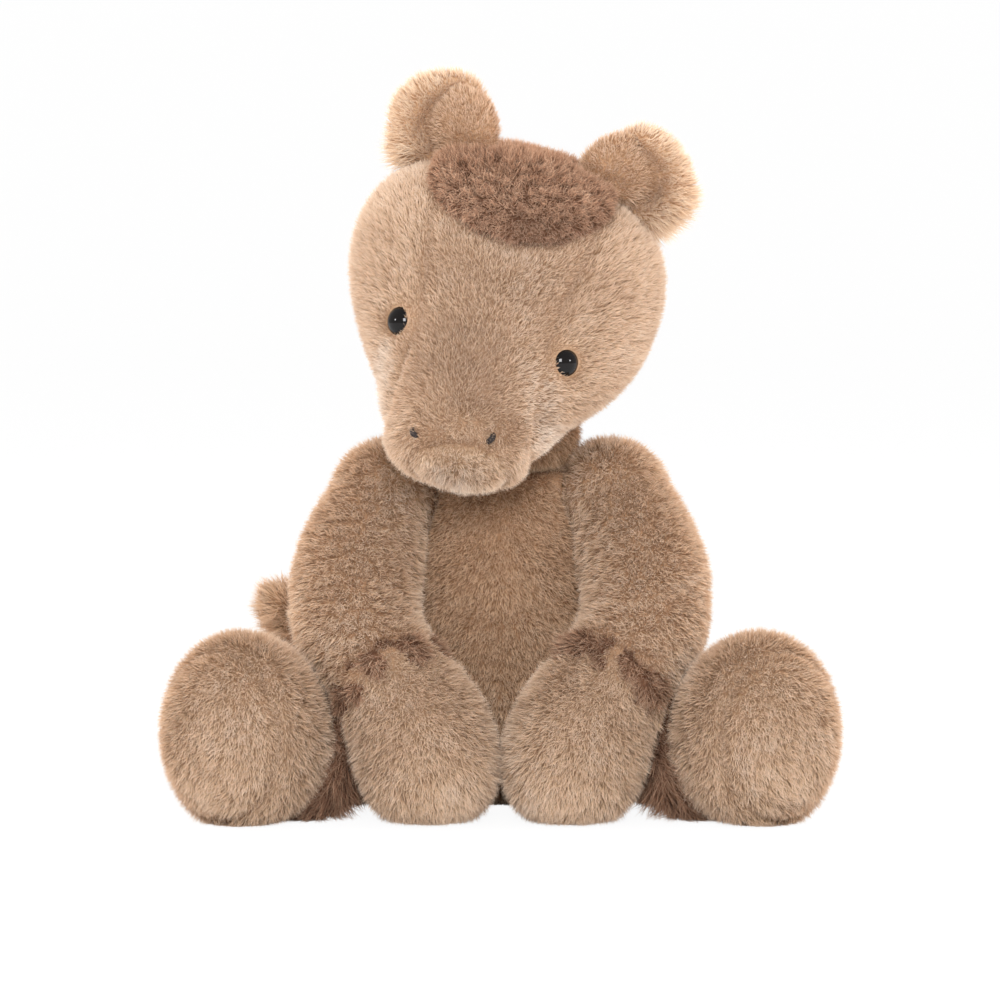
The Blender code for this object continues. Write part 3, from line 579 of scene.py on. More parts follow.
def pile_colour_group():
    """Colour of a strand from its tone and the place along it."""
    inputs = [("Tone", "Float"), ("Along", "Float")]
    inputs += [(name, "Color") for name in DYE_STEPS]
    tree, given, out = open_group("pile_colour", "ShaderNodeTree", inputs, [("Colour", "Color")])
    tone, along, root, dark, middle_dye, light = given.outputs[:6]
    colour = blended(tree, spread_out(tree, tone, from_max=0.5), dark, middle_dye)
    colour = blended(tree, spread_out(tree, tone, from_min=0.5), colour, light)
    colour = blended(tree, spread_out(tree, along, True, from_max=0.75), root, colour)
    tip = spread_out(tree, along, True, from_min=0.55, to_max=0.60)
    tree.links.new(blended(tree, tip, colour, light), out.inputs["Colour"])
    return tree


def cloth_colour_group():
    """Blotches and fine threads of a knitted ground or of wadding, and their height."""
    inputs = [("Blotch Scale", "Float"), ("Thread Scale", "Float")]
    inputs += [("Dark", "Color"), ("Light", "Color")]
    outputs = [("Colour", "Color"), ("Height", "Float")]
    tree, given, out = open_group("cloth_ground", "ShaderNodeTree", inputs, outputs)
    nodes, link = tree.nodes, tree.links.new
    place = nodes.new("ShaderNodeTexCoord")
    blotch = nodes.new("ShaderNodeTexNoise")
    thread = nodes.new("ShaderNodeTexVoronoi")
    for texture, scale in ((blotch, "Blotch Scale"), (thread, "Thread Scale")):
        link(place.outputs["Object"], texture.inputs["Vector"])
        link(given.outputs[scale], texture.inputs["Scale"])
    both = add(nodes, "ShaderNodeMath", operation="MULTIPLY_ADD")
    link(thread.outputs["Distance"], both.inputs[0])
    both.inputs[1].default_value = 0.45
    link(blotch.outputs["Fac"], both.inputs[2])
    share = spread_out(tree, both.outputs["Value"], from_min=0.35, from_max=1.0)
    colour = blended(tree, share, given.outputs["Dark"], given.outputs["Light"])
    link(colour, out.inputs["Colour"])
    link(thread.outputs["Distance"], out.inputs["Height"])
    return tree


PILE_COLOUR = pile_colour_group()
CLOTH_GROUND = cloth_colour_group()


def fresh_material(name):
    made = bpy.data.materials.new(name)
    made.use_nodes = True
    return made, made.node_tree.nodes, made.node_tree.links.new


def strand_material(name, colours):
    """Soft fibre: the tone and the place along the strand come from its own map."""
    made, nodes, link = fresh_material(name)
    shader = nodes["Principled BSDF"]
    shader.inputs["Roughness"].default_value = 0.78
    shader.inputs["Specular IOR Level"].default_value = 0.22
    shader.inputs["Sheen Weight"].default_value = 0.25
    shader.inputs["Sheen Roughness"].default_value = 0.5
    shader.inputs["Sheen Tint"].default_value = colours[3]
    group = add(nodes, "ShaderNodeGroup", node_tree=PILE_COLOUR)
    for socket, colour in zip(DYE_STEPS, colours):
        group.inputs[socket].default_value = colour
    place = add(nodes, "ShaderNodeUVMap", uv_map="OFBake")
    parts = nodes.new("ShaderNodeSeparateXYZ")
    link(place.outputs["UV"], parts.inputs["Vector"])
    link(parts.outputs["X"], group.inputs["Tone"])
    link(parts.outputs["Y"], group.inputs["Along"])
    link(group.outputs["Colour"], shader.inputs["Base Color"])
    return made


def cloth_material(name, dark, light, blotch, thread, height):
    """Knitted ground, wadding or pouch cloth."""
    made, nodes, link = fresh_material(name)
    shader = nodes["Principled BSDF"]
    shader.inputs["Roughness"].default_value = 0.92
    shader.inputs["Specular IOR Level"].default_value = 0.15
    group = add(nodes, "ShaderNodeGroup", node_tree=CLOTH_GROUND)
    group.inputs["Blotch Scale"].default_value = blotch
    group.inputs["Thread Scale"].default_value = thread
    group.inputs["Dark"].default_value = dark
    group.inputs["Light"].default_value = light
    bump = nodes.new("ShaderNodeBump")
    bump.inputs["Distance"].default_value = height
    bump.inputs["Strength"].default_value = 0.6
    link(group.outputs["Colour"], shader.inputs["Base Color"])
    link(group.outputs["Height"], bump.inputs["Height"])
    link(bump.outputs["Normal"], shader.inputs["Normal"])
    return made


STRANDS = {}
GROUNDS = {}
for name, codes in DYES_AND_PAINTED_LIGHT.items():
    colours = [dye(code) for code in codes]
    STRANDS[name] = strand_material(name + "_pile", colours)
    GROUNDS[name] = cloth_material(name + "_ground", colours[0], colours[1], 120, 900, 0.0003)

# -------------------------------- the pile tree


def strand():
    """One strand as a bent blade, one metre long, widest below its middle."""
    corners = [(0, 0, 0), (-0.5, 0.42, 0.11), (0.5, 0.42, 0.11), (0, 1, 0.03)]
    mesh = bpy.data.meshes.new("strand")
    mesh.from_pydata(corners, [], [(0, 2, 1), (1, 2, 3)], shade_flat=False)
    along = mesh.attributes.new("along", "FLOAT", "POINT")
    along.data.foreach_set("value", [0.03, 0.42, 0.42, 0.97])
    across = mesh.attributes.new("across", "FLOAT", "POINT")
    across.data.foreach_set("value", [0, -1, 1, 0])
    return piece_from("strand", mesh)


def pile_tree():
    """Strands on a skin: combed, drawn together in tufts, each with its own tone."""
    inputs = [("Skin", "Geometry"), ("Strand", "Object")]
    inputs += [(name, "Float") for name in PILE_INPUTS]
    inputs += [("Seed", "Int"), ("Finish", "Material")]
    tree, given, out = open_group("plush_pile", "GeometryNodeTree", inputs, [("Pile", "Geometry")])
    nodes, link = tree.nodes, tree.links.new

    def put(value, socket):
        if isinstance(value, bpy.types.NodeSocket):
            link(value, socket)
        else:
            socket.default_value = value

    def vector(operation, *values, out_name="Vector"):
        n = add(nodes, "ShaderNodeVectorMath", operation=operation)
        for value, socket in zip(values, n.inputs):
            put(value, socket)
        return n.outputs[out_name]

    def scaled(value, by):
        n = add(nodes, "ShaderNodeVectorMath", operation="SCALE")
        put(value, n.inputs["Vector"])
        put(by, n.inputs["Scale"])
        return n.outputs["Vector"]

    def number(operation, *values):
        n = add(nodes, "ShaderNodeMath", operation=operation)
        for value, socket in zip(values, n.inputs):
            put(value, socket)
        return n.outputs["Value"]

    def held(name, kind):
        n = add(nodes, "GeometryNodeInputNamedAttribute", data_type=kind)
        n.inputs["Name"].default_value = name
        return n.outputs["Attribute"]

    def chance(kind, low, high, step):
        n = add(nodes, "FunctionNodeRandomValue", data_type=kind)
        spots = [s for s in n.inputs if s.enabled]
        spots[0].default_value = low
        spots[1].default_value = high
        seed = number("ADD", given.outputs["Seed"], step)
        link(seed, n.inputs["Seed"])
        return [s for s in n.outputs if s.enabled][0]

    def clouds(place, scale, detail=1.0):
        n = nodes.new("ShaderNodeTexNoise")
        link(place, n.inputs["Vector"])
        put(scale, n.inputs["Scale"])
        n.inputs["Detail"].default_value = detail
        return n.outputs["Fac"], n.outputs["Color"]

    spots = add(nodes, "GeometryNodeDistributePointsOnFaces", distribute_method="RANDOM")
    link(given.outputs["Skin"], spots.inputs["Mesh"])
    thick = number("MULTIPLY", given.outputs["Density"], held("cover", "FLOAT"))
    link(thick, spots.inputs["Density"])
    link(given.outputs["Seed"], spots.inputs["Seed"])
    normal_store = add(nodes, "GeometryNodeCaptureAttribute")
    normal_store.capture_items.new("VECTOR", "Out")
    link(spots.outputs["Points"], normal_store.inputs["Geometry"])
    link(spots.outputs["Normal"], normal_store.inputs["Out"])
    outward = normal_store.outputs["Out"]
    place = nodes.new("GeometryNodeInputPosition").outputs["Position"]

    drift = scaled(vector("SUBTRACT", clouds(place, 42.0)[1], (0.5, 0.5, 0.5)), 1.1)
    curl = scaled(vector("SUBTRACT", clouds(place, 130.0)[1], (0.5, 0.5, 0.5)), 0.9)
    combed = vector("ADD", vector("ADD", held("comb", "FLOAT_VECTOR"), drift), curl)
    rise = vector("DOT_PRODUCT", combed, outward, out_name="Value")
    flat = vector("NORMALIZE", vector("SUBTRACT", combed, scaled(outward, rise)))

    tuft = nodes.new("ShaderNodeTexVoronoi")
    link(place, tuft.inputs["Vector"])
    link(number("DIVIDE", 1.0, given.outputs["Clump Size"]), tuft.inputs["Scale"])
    toward = vector("SUBTRACT", tuft.outputs["Position"], place)
    inward = vector("DOT_PRODUCT", toward, outward, out_name="Value")
    toward = vector("SUBTRACT", toward, scaled(outward, inward))
    pull = number("DIVIDE", given.outputs["Clump Pull"], given.outputs["Length"])
    spread = number("SUBTRACT", 1.0, given.outputs["Lift"])
    lean = vector("ADD", scaled(flat, spread), scaled(outward, given.outputs["Lift"]))
    lean = vector("ADD", lean, scaled(toward, pull))
    shake = chance("FLOAT_VECTOR", (-1, -1, -1), (1, 1, 1), 3)
    lean = vector("NORMALIZE", vector("ADD", lean, scaled(shake, given.outputs["Unevenness"])))

    tilt = chance("FLOAT_VECTOR", (-0.6, -0.6, -0.6), (0.6, 0.6, 0.6), 5)
    facing = add(nodes, "FunctionNodeAxesToRotation", primary_axis="Y", secondary_axis="Z")
    link(lean, facing.inputs["Primary Axis"])
    link(vector("ADD", outward, tilt), facing.inputs["Secondary Axis"])

    reach = number("MULTIPLY", given.outputs["Length"], held("pile", "FLOAT"))
    reach = number("MULTIPLY", reach, chance("FLOAT", 0.72, 1.15, 7))
    broad = number("MULTIPLY", given.outputs["Width"], chance("FLOAT", 0.75, 1.3, 9))
    size = nodes.new("ShaderNodeCombineXYZ")
    link(broad, size.inputs["X"])
    link(reach, size.inputs["Y"])
    link(reach, size.inputs["Z"])

    patch = number("MULTIPLY", number("SUBTRACT", clouds(place, 55.0, 2.0)[0], 0.5), 0.55)
    parting = number("MULTIPLY", number("SUBTRACT", 0.45, tuft.outputs["Distance"]), 0.35)
    own = number("MULTIPLY", chance("FLOAT", -1.0, 1.0, 11), given.outputs["Tone Spread"])
    tone = number("ADD", held("shade", "FLOAT"), patch)
    tone = number("ADD", number("ADD", tone, parting), own)
    clamp = nodes.new("ShaderNodeClamp")
    link(tone, clamp.inputs["Value"])
    clamp.inputs["Min"].default_value = 0.03
    clamp.inputs["Max"].default_value = 0.97
    keep = add(nodes, "GeometryNodeStoreNamedAttribute", data_type="FLOAT", domain="POINT")
    keep.inputs["Name"].default_value = "tone"
    link(normal_store.outputs["Geometry"], keep.inputs["Geometry"])
    link(clamp.outputs["Result"], keep.inputs["Value"])

    blade = nodes.new("GeometryNodeObjectInfo")
    link(given.outputs["Strand"], blade.inputs["Object"])
    sow = nodes.new("GeometryNodeInstanceOnPoints")
    link(keep.outputs["Geometry"], sow.inputs["Points"])
    link(blade.outputs["Geometry"], sow.inputs["Instance"])
    link(facing.outputs["Rotation"], sow.inputs["Rotation"])
    link(size.outputs["Vector"], sow.inputs["Scale"])
    grown = nodes.new("GeometryNodeRealizeInstances")
    link(sow.outputs["Instances"], grown.inputs["Geometry"])

    u = number("MULTIPLY_ADD", held("across", "FLOAT"), 0.02, held("tone", "FLOAT"))
    both = nodes.new("ShaderNodeCombineXYZ")
    link(u, both.inputs["X"])
    link(held("along", "FLOAT"), both.inputs["Y"])
    chart = add(nodes, "GeometryNodeStoreNamedAttribute", data_type="FLOAT2", domain="CORNER")
    chart.inputs["Name"].default_value = "OFBake"
    link(grown.outputs["Geometry"], chart.inputs["Geometry"])
    link(both.outputs["Vector"], chart.inputs["Value"])

    where = nodes.new("ShaderNodeSeparateXYZ")
    link(place, where.inputs["Vector"])
    above = nodes.new("ShaderNodeCombineXYZ")
    link(where.outputs["X"], above.inputs["X"])
    link(where.outputs["Y"], above.inputs["Y"])
    link(number("MAXIMUM", where.outputs["Z"], 0.0002), above.inputs["Z"])
    press = nodes.new("GeometryNodeSetPosition")
    link(chart.outputs["Geometry"], press.inputs["Geometry"])
    link(above.outputs["Vector"], press.inputs["Position"])

    last = press.outputs["Geometry"]
    for name in ("tone", "along", "across", "comb", "pile", "shade", "cover", "Out"):
        clear = nodes.new("GeometryNodeRemoveAttribute")
        clear.inputs["Name"].default_value = name
        link(last, clear.inputs["Geometry"])
        last = clear.outputs["Geometry"]
    finish = nodes.new("GeometryNodeSetMaterial")
    link(last, finish.inputs["Geometry"])
    link(given.outputs["Finish"], finish.inputs["Material"])
    link(finish.outputs["Geometry"], out.inputs["Pile"])
    return tree


PILE_TREE = pile_tree()
STRAND = strand()


def socket_of(name):
    for item in PILE_TREE.interface.items_tree:
        if item.item_type == "SOCKET" and item.in_out == "INPUT" and item.name == name:
            return item.identifier
    raise KeyError(name)


def grow_pile(name, patch, kind, seed):
    """The pile of one panel as a plain mesh of its own."""
    values = dict(zip(PILE_INPUTS, PILES[kind][1:]))
    modifier = patch.modifiers.new("pile", "NODES")
    modifier.node_group = PILE_TREE
    modifier[socket_of("Strand")] = STRAND
    for key, value in values.items():
        modifier[socket_of(key)] = value
    modifier[socket_of("Seed")] = seed
    modifier[socket_of("Finish")] = STRANDS[PILES[kind][0]]
    mesh = plain_mesh(patch)
    drop(patch)
    return piece_from(name, mesh)


# -------------------------------- dress the bodies


def mark(mesh, name, kind, values):
    attribute = mesh.attributes.new(name, kind, "POINT")
    key = "vector" if kind == "FLOAT_VECTOR" else "value"
    attribute.data.foreach_set(key, np.asarray(values, np.float32).ravel())


def panel_patch(skin, chosen):
    """A copy of the skin's faces that belong to one panel."""
    mesh = skin.data.copy()
    bm = bmesh.new()
    bm.from_mesh(mesh)
    bm.faces.ensure_lookup_table()
    spare = [f for f in bm.faces if not chosen[f.index]]
    bmesh.ops.delete(bm, geom=spare, context="FACES")
    bm.to_mesh(mesh)
    bm.free()
    return piece_from("patch", mesh)


def face_panels(mesh, owner):
    corners = np.empty(len(mesh.loops), int)
    mesh.loops.foreach_get("vertex_index", corners)
    starts = np.empty(len(mesh.polygons), int)
    mesh.polygons.foreach_get("loop_start", starts)
    return owner[corners[starts]]


def face_shade(co):
    """A browner bridge of the nose and paler pile beside it; the paler pile along the chin is
    painted light.
    """
    nose = nose_tip()
    beside = np.abs((co - nose) @ unit(middle("nostril_left") - middle("nostril_right")))
    above = (co - nose) @ unit(middle("mane_pad") - nose)
    bridge = (1 - smooth_step(beside, 0.011, 0.021)) * smooth_step(above, 0.003, 0.012)
    bridge = bridge * (1 - smooth_step(above, 0.026, 0.040))
    band = np.exp(-(((beside - 0.026) / 0.005) ** 2)) * smooth_step(above, -0.004, 0.006)
    band = band * (1 - smooth_step(above, 0.022, 0.036))
    chin = smooth_step(-above, 0.003, 0.013)
    return BAND_SHADE * band + CHIN_PAINTED_LIGHT * chin - BRIDGE_SHADE * bridge


def lining_share(co, node):
    """How far the lining's pile runs out over the ear's front, most on the side of the mane."""
    ear = heart(node.replace("ear_lining", "ear"))
    toward = unit((middle("mane_pad") - ear) * np.array((1.0, 0.0, 0.0)))
    inner = smooth_step((co - ear) @ toward, -0.006, 0.004)
    front = smooth_step(ear[1] - co[:, 1], -0.001, 0.003)
    return front * (LINING_LEAST + LINING_REACH * inner)


def panel_borders(names, co):
    """Which panel each corner belongs to, and its distance from the nearest seam."""
    border = np.array([gaps_to(tree_of([node]), co) for node in names])
    wander = np.array([noise.noise(Vector(c) * WANDER_SCALE) for c in co]) * BAND_WANDER
    for i, node in enumerate(names):
        if "fore_fetlock" in node:
            border[i] += wander + BAND_TRIM
        if "lining" in node:
            border[i] -= lining_share(co, node)
    owner = border.argmin(0)
    if len(names) == 1:
        return owner, np.full(len(co), NO_SEAM)
    border.sort(axis=0)
    return owner, border[1] - border[0]


def sunk_seams(name, mesh, seam):
    """Moves the skin as its cloth moved, and sinks it along the seams."""
    deep, wide = (SEAM_SINK, SEAM_WIDE)
    if name.startswith("ear"):
        deep, wide = (EAR_SEAM_SINK, EAR_SEAM_WIDE)
    co = arrays_of(mesh)
    if name in FILLED:
        co = carried(FILLED[name], co, normals_of(mesh))
    sink = deep * np.exp(-((seam / wide) ** 2))
    co = co - normals_of(mesh) * sink[:, None]
    co[:, 2] = np.maximum(co[:, 2], 0.0)
    set_places(mesh, co)
    return co


def beside_eye(co, side):
    """Distance from an eye's rim, measured square to the eye's axis."""
    washer = middle("eye_washer_" + side)
    out_way = unit(heart("eye_" + side) - washer)
    away = co - washer
    gap = np.linalg.norm(away - (away @ out_way)[:, None] * out_way, axis=1) - EYE_RADIUS
    return np.where(away @ out_way > 0, gap, 1.0)


def pile_marks(name, names, mesh, co, owner, seam, touch):
    """Length, shade and cover of the pile at each corner of a skin. The shade holds painted shade
    in seam creases, where pieces touch, round the eyes, on the neck's front and under the mane,
    and painted light on the mane's top and the chin.
    """
    near_seam = smooth_step(seam, 0.0, SEAM_REACH)
    free = smooth_step(touch, TOUCH_NEAR, TOUCH_FAR)
    # how much painted shade a seam's crease gets; the ear's crease between rim and lining gets
    # most
    painted_seam_shade = EAR_CREASE_PAINTED_SHADE if name.startswith("ear") else SEAM_PAINTED_SHADE
    pile = (SEAM_PILE + (1 - SEAM_PILE) * near_seam) * (TOUCH_PILE + (1 - TOUCH_PILE) * free)
    # painted shade: darker pile in the seam creases and where the pile touches another piece
    shade = SHADE_MEAN - painted_seam_shade * (1 - near_seam) - TOUCH_PAINTED_SHADE * (1 - free)
    cover = TOUCH_COVER + (1 - TOUCH_COVER) * free
    if name == "mane":
        hang = middle("mane_pad")[2] - co[:, 2]
        # painted light on the mane's top, painted shade along its lower edge
        shade = shade + MANE_TOP_PAINTED_LIGHT - MANE_HANG_PAINTED_SHADE * smooth_step(hang, 0.000, 0.010)
    if name == "neck":
        ahead = middle("neck_cover")[1] - co[:, 1]
        # painted shade: the front of the neck darker, for the shade between head, arms and torso
        shade = shade - NECK_PAINTED_SHADE * smooth_step(ahead, -0.004, 0.006)
    if name.startswith("ear"):
        away = co - heart(name)
        outward = np.sign(heart(name)[0] - middle("mane_pad")[0])
        outer = smooth_step(away[:, 0] * outward, -0.004, 0.008)
        low = smooth_step(-away[:, 2], -0.002, 0.008)
        pile = pile * (1 + EAR_SKIRT * outer * low)
    if name.startswith("leg"):
        upward = smooth_step(normals_of(mesh)[:, 2], -0.2, 0.5)
        tuft = owner == names.index("hind_fetlock" + name[3:])
        pile = np.where(tuft, pile * (1 - TUFT_TRIM * upward), pile)
    if name == "head":
        for side in ("left", "right"):
            gap = beside_eye(co, side)
            pile = pile * (EYE_PILE + (1 - EYE_PILE) * smooth_step(gap, 0.000, 0.005))
            cover = cover * smooth_step(gap, -0.0003, 0.0003)
            # painted shade in a ring round the eye, where it is pressed into the plush
            shade = shade - EYE_PAINTED_SHADE * (1 - smooth_step(gap, 0.000, 0.003))
        for side in ("left", "right"):
            gap = gaps_to(tree_of(["nostril_" + side]), co)
            pile = pile * (NOSTRIL_PILE + (1 - NOSTRIL_PILE) * smooth_step(gap, 0.000, 0.003))
            shade = shade - NOSTRIL_SHADE * (1 - smooth_step(gap, 0.000, 0.002))
        shade = shade + face_shade(co)
    return {"pile": pile, "shade": shade, "cover": cover}


def dress(name, body, panels, flow, rounds, seed):
    """Sews a skin round the panels of one form, and grows the pile of each panel on it."""
    names = list(panels)
    nodes = names + FILLINGS.get(name, [])
    skin = sewn_skin(name + "_skin", nodes, SKIN_GRAIN, rounds, SKIN_EASE)
    mesh = skin.data
    sewn = arrays_of(mesh)
    owner, seam = panel_borders(names, sewn)
    touch = gaps_to(tree_of([node for node in PANEL_NODES if node not in names]), sewn)
    co = sunk_seams(name, mesh, seam)
    marks = pile_marks(name, names, mesh, co, owner, seam, touch)
    mark(mesh, "comb", "FLOAT_VECTOR", unit(flow(co)))
    for key, values in marks.items():
        mark(mesh, key, "FLOAT", values)

    ground_keys = [PILES[kind][0] for kind in panels.values()]
    on_face = face_panels(mesh, owner)
    for ground_key in ground_keys:
        mesh.materials.append(GROUNDS[ground_key])
    mesh.polygons.foreach_set("material_index", on_face.astype(np.int32))
    for i, node in enumerate(names):
        patch = panel_patch(skin, on_face == i)
        pile_piece = grow_pile(node + "_pile", patch, panels[node], seed + i)
        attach(pile_piece, body)
    for attribute in ("comb", "pile", "shade", "cover"):
        mesh.attributes.remove(mesh.attributes[attribute])
    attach(skin, body)
    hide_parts(*names)


for place, (name, body, panels, flow, rounds) in enumerate(SKINS):
    dress(name, body, panels, flow, rounds, seed=40 * place + 7)
drop(STRAND)

# -------------------------------- wadding and pouch

WADDING = cloth_material("wadding", dye("d9d6cf"), dye("f3f1ec"), 90, 400, 0.0008)
POUCH_CLOTH = cloth_material("pouch_cloth", dye("b9b2a4"), dye("d8d2c4"), 60, 1400, 0.0003)
INSIDE = {
    "torso_filling": ("torso", WADDING, "filling"),
    "neck_filling": ("neck", WADDING, "filling"),
    "head_filling": ("head", WADDING, "filling"),
    "pellet_pouch": ("torso", POUCH_CLOTH, "pouch"),
}
for limb in ("arm", "leg"):
    for side in ("left", "right"):
        INSIDE[limb + "_filling_" + side] = (limb + "_" + side, WADDING, "filling")
for node, (body, material, slot) in INSIDE.items():
    piece = sewn_skin(node + "_form", [node], WADDING_GRAIN, 2, 0.0)
    piece.data.materials.append(material)
    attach(piece, body)
    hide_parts(node)

# -------------------------------- eyes, washers, nostrils


def plain_material(name, colour, roughness):
    """Smooth moulded plastic with a faint mottle."""
    made, nodes, link = fresh_material(name)
    shader = nodes["Principled BSDF"]
    place = nodes.new("ShaderNodeTexCoord")
    mottle = nodes.new("ShaderNodeTexNoise")
    mottle.inputs["Scale"].default_value = 400
    link(place.outputs["Object"], mottle.inputs["Vector"])
    shift = nodes.new("ShaderNodeMapRange")
    shift.inputs["To Min"].default_value = roughness
    shift.inputs["To Max"].default_value = roughness * 1.3
    link(mottle.outputs["Fac"], shift.inputs["Value"])
    link(shift.outputs["Result"], shader.inputs["Roughness"])
    shade = add(nodes, "ShaderNodeMix", data_type="RGBA")
    shade.inputs["A"].default_value = colour
    shade.inputs["B"].default_value = tuple(c * 1.25 for c in colour[:3]) + (1,)
    link(mottle.outputs["Fac"], shade.inputs["Factor"])
    link(shade.outputs["Result"], shader.inputs["Base Color"])
    return made


EYE_GLOSS = plain_material("eye_gloss", dye("0d0908"), 0.04)
EYE_GLOSS.node_tree.nodes["Principled BSDF"].inputs["Specular IOR Level"].default_value = 0.35
WASHER_NYLON = plain_material("washer_nylon", dye("d8d6d0"), 0.45)
THREAD = plain_material("nostril_thread", dye("2b2220"), 0.55)


def turned_piece(name, profile, centre, axis, around=48):
    """A lathe form: (radius, height) pairs about an axis, closed at both ends."""
    corners = []
    faces = []
    turn = Vector((0, 0, 1)).rotation_difference(Vector(axis)).to_matrix()
    for radius, height in profile:
        for k in range(around):
            angle = 2 * math.pi * k / around
            spot = Vector((radius * math.cos(angle), radius * math.sin(angle), height))
            corners.append(turn @ spot + Vector(centre))
    for r in range(len(profile) - 1):
        for k in range(around):
            a = r * around + k
            b = r * around + (k + 1) % around
            faces.append((a, b, b + around, a + around))
    faces.append(tuple(reversed(range(around))))
    faces.append(tuple(range((len(profile) - 1) * around, len(profile) * around)))
    mesh = bpy.data.meshes.new(name)
    mesh.from_pydata(corners, [], faces, shade_flat=False)
    return piece_from(name, mesh)


for side in ("left", "right"):
    eye = "eye_" + side
    washer = middle("eye_washer_" + side)
    co = arrays_of(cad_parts[eye].data)
    axis = unit(co.mean(0) - washer)
    heights = (co - washer) @ axis
    profile = [(SHANK_RADIUS * 0.8, heights.min()), (SHANK_RADIUS, heights.min() + 0.0005)]
    base = heights.max() - EYE_DOME - EYE_RIM
    profile += [(SHANK_RADIUS, base), (EYE_RADIUS * 0.97, base), (EYE_RADIUS, base + 0.0003)]
    for k in range(EYE_STEPS + 1):
        angle = math.pi / 2 * k / EYE_STEPS
        radius = EYE_RADIUS * math.cos(angle)
        profile.append((max(radius, 0.00002), base + EYE_RIM + EYE_DOME * math.sin(angle)))
    glass = turned_piece("eye_glass_" + side, profile, washer, axis)
    glass.data.materials.append(EYE_GLOSS)
    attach(glass, "head")
    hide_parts(eye)
    cad_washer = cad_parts["eye_washer_" + side]
    cad_washer.data.materials.clear()
    cad_washer.data.materials.append(WASHER_NYLON)


def stitch_bundle(name, node, slant):
    """Satin stitches laid side by side over a narrow slit, each a bowed thread."""
    co = arrays_of(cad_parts[node].data)
    centre = co.mean(0)
    out_way = np.linalg.svd(co - centre, full_matrices=False)[2][2]
    if out_way @ (centre - middle("head_filling")) < 0:
        out_way = -out_way
    long_way = unit(np.array(slant) - out_way * (np.array(slant) @ out_way))
    short_way = np.cross(out_way, long_way)
    corners = []
    faces = []
    around, steps = 6, 7
    for k in range(STITCHES):
        place = (k + 0.5) / STITCHES * 2 - 1
        half = SLIT_LONG / 2 * math.sqrt(max(1 - (0.9 * place) ** 2, 0.05))
        base = len(corners)
        for s in range(steps):
            t = s / (steps - 1) * 2 - 1
            high = 0.0011 * (1 - t * t) * (1 - 0.4 * place**2) + 0.0004
            spot = centre + long_way * half * t + short_way * (SLIT_WIDE / 2) * place
            spot = spot + out_way * high
            for a in range(around):
                angle = 2 * math.pi * a / around
                ring = short_way * math.cos(angle) + out_way * math.sin(angle)
                corners.append(spot + ring * STITCH_RADIUS)
        for s in range(steps - 1):
            for a in range(around):
                p = base + s * around + a
                q = base + s * around + (a + 1) % around
                faces.append((p, q, q + around, p + around))
        faces.append(tuple(base + a for a in reversed(range(around))))
        faces.append(tuple(base + (steps - 1) * around + a for a in range(around)))
    mesh = bpy.data.meshes.new(name)
    mesh.from_pydata([tuple(c) for c in corners], [], faces, shade_flat=False)
    bm = bmesh.new()
    bm.from_mesh(mesh)
    bmesh.ops.recalc_face_normals(bm, faces=bm.faces)
    bm.to_mesh(mesh)
    bm.free()
    return piece_from(name, mesh)


for side, slant in (("left", (0.62, 0, 0.78)), ("right", (-0.80, 0, 0.60))):
    node = "nostril_" + side
    stitches = stitch_bundle("nostril_stitches_" + side, node, slant)
    stitches.data.materials.append(THREAD)
    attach(stitches, "head")
    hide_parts(node)

# -------------------------------- floor, sky and lamps

FLOOR_DROP = -0.0002
PAPER_GLOW = 1.05
PAPER_GLOW_SHARE = 0.90


def backdrop():
    """A floor that curves up into a wall behind the toy."""
    front, bend, radius, tall, half_wide, steps = (-3.0, 3.2, 0.8, 3.0, 3.5, 12)
    profile = [(front, FLOOR_DROP), (bend, FLOOR_DROP)]
    for k in range(1, steps + 1):
        angle = math.pi / 2 * k / steps
        profile.append((bend + radius * math.sin(angle), radius * (1 - math.cos(angle))))
    profile.append((bend + radius, tall))
    corners = [(x, y, z) for y, z in profile for x in (-half_wide, half_wide)]
    faces = [(2 * i, 2 * i + 1, 2 * i + 3, 2 * i + 2) for i in range(len(profile) - 1)]
    mesh = bpy.data.meshes.new("floor")
    mesh.from_pydata(corners, [], faces, shade_flat=False)
    made, nodes, link = fresh_material("paper_white")
    shader = nodes["Principled BSDF"]
    shader.inputs["Base Color"].default_value = (0.86, 0.86, 0.86, 1)
    shader.inputs["Roughness"].default_value = 0.9
    shader.inputs["Specular IOR Level"].default_value = 0.1
    glow = nodes.new("ShaderNodeEmission")
    glow.inputs["Strength"].default_value = PAPER_GLOW
    path = nodes.new("ShaderNodeLightPath")
    seen = path.outputs["Is Camera Ray"]
    for ray in ("Is Glossy Ray", "Is Transmission Ray"):
        either = add(nodes, "ShaderNodeMath", operation="MAXIMUM")
        link(seen, either.inputs[0])
        link(path.outputs[ray], either.inputs[1])
        seen = either.outputs["Value"]
    part = add(nodes, "ShaderNodeMath", operation="MULTIPLY")
    link(seen, part.inputs[0])
    part.inputs[1].default_value = PAPER_GLOW_SHARE
    mix = nodes.new("ShaderNodeMixShader")
    link(part.outputs["Value"], mix.inputs[0])
    link(shader.outputs["BSDF"], mix.inputs[1])
    link(glow.outputs["Emission"], mix.inputs[2])
    link(mix.outputs["Shader"], nodes["Material Output"].inputs["Surface"])
    mesh.materials.append(made)
    return piece_from("floor", mesh)


backdrop()


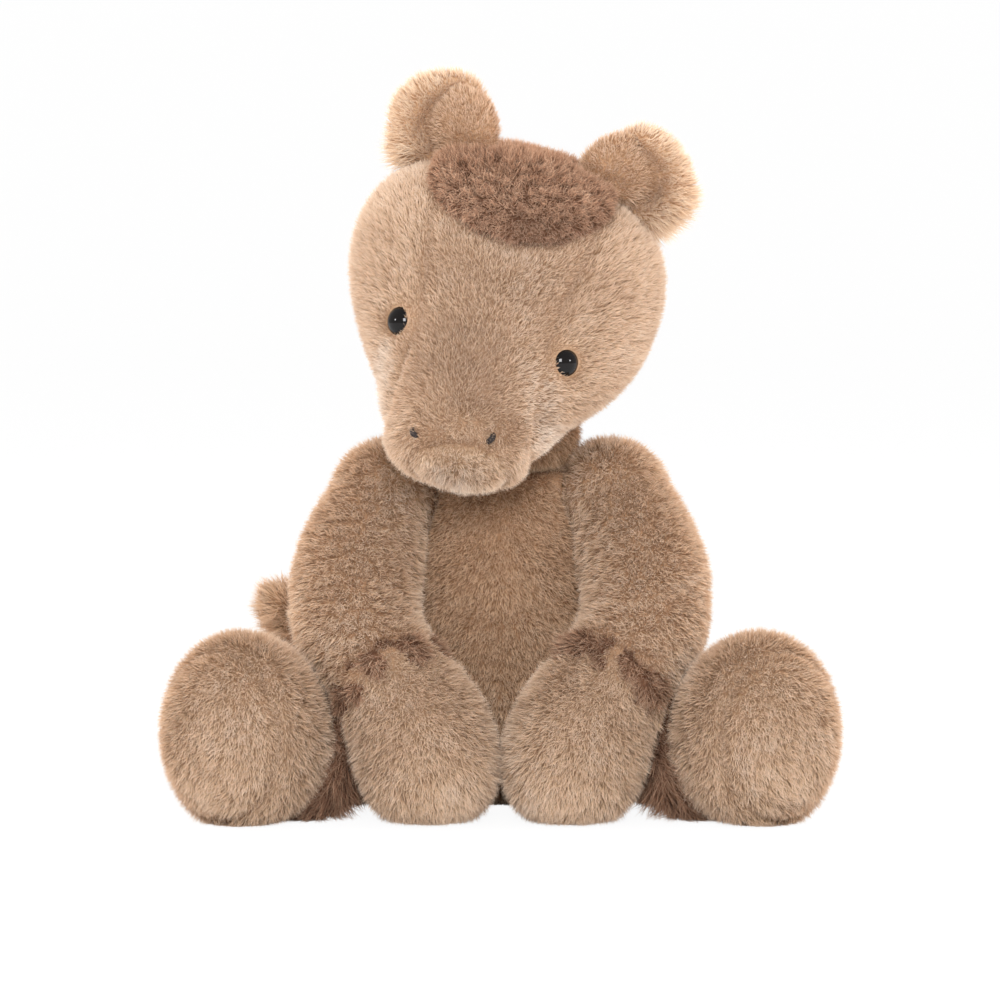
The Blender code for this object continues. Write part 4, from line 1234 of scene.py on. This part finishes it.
def white_sky(lit, seen):
    """A white sky that gives one strength of light and shows another to the camera."""
    world = bpy.data.worlds.new("studio")
    bpy.context.scene.world = world
    world.use_nodes = True
    nodes, link = world.node_tree.nodes, world.node_tree.links.new
    choose = nodes.new("ShaderNodeMixShader")
    path = nodes.new("ShaderNodeLightPath")
    link(path.outputs["Is Camera Ray"], choose.inputs[0])
    skies = (nodes["Background"], nodes.new("ShaderNodeBackground"))
    for place, (sky, strength) in enumerate(zip(skies, (lit, seen))):
        sky.inputs["Color"].default_value = (1, 1, 1, 1)
        sky.inputs["Strength"].default_value = strength
        link(sky.outputs["Background"], choose.inputs[1 + place])
    link(choose.outputs["Shader"], nodes["World Output"].inputs["Surface"])


white_sky(lit=0.50, seen=1.0)

AIM = (0, 0, 0.11)
BROAD_LAMP = 0.8


def softbox(name, place, wide, tall, power):
    """A soft lamp aimed at the toy. A broad one isn't mirrored in the eyes."""
    lamp = bpy.data.lights.new(name, "AREA")
    lamp.shape = "RECTANGLE"
    lamp.size = wide
    lamp.size_y = tall
    lamp.energy = power
    obj = bpy.data.objects.new(name, lamp)
    bpy.context.scene.collection.objects.link(obj)
    obj.location = place
    obj.rotation_euler = (Vector(AIM) - Vector(place)).to_track_quat("-Z", "Y").to_euler()
    obj.visible_glossy = wide < BROAD_LAMP


softbox("front_box", (-0.05, -1.60, 0.65), 0.55, 0.55, 18.0)
softbox("right_box", (1.25, 0.45, 0.55), 0.9, 1.2, 17.0)
softbox("left_box", (-1.25, 0.45, 0.55), 0.9, 1.2, 15.0)
softbox("top_box", (0.0, 0.30, 1.40), 1.0, 1.0, 5.0)
softbox("right_spark", (1.20, -0.60, 0.42), 0.16, 0.16, 2.0)
softbox("left_spark", (-1.20, -0.50, 0.48), 0.16, 0.16, 2.0)

# -------------------------------- camera

TILT = math.radians(4)
FAR = 2.0
METRES_ACROSS = 0.341
SENSOR = 36
VIEW_SHIFT = -0.00017
VIEW_HEIGHT = 0.10305
camera_data = bpy.data.cameras.new("camera")
camera_data.sensor_width = SENSOR
camera_data.lens = SENSOR * FAR / METRES_ACROSS
camera = bpy.data.objects.new("camera", camera_data)
bpy.context.scene.collection.objects.link(camera)
ahead = Vector((0, math.cos(TILT), -math.sin(TILT)))
up = Vector((0, math.sin(TILT), math.cos(TILT)))
camera.location = Vector((VIEW_SHIFT, 0, 0)) + up * VIEW_HEIGHT - ahead * FAR
camera.rotation_euler = (math.pi / 2 - TILT, 0, 0)
bpy.context.scene.camera = camera
bpy.context.scene.view_settings.view_transform = "Standard"
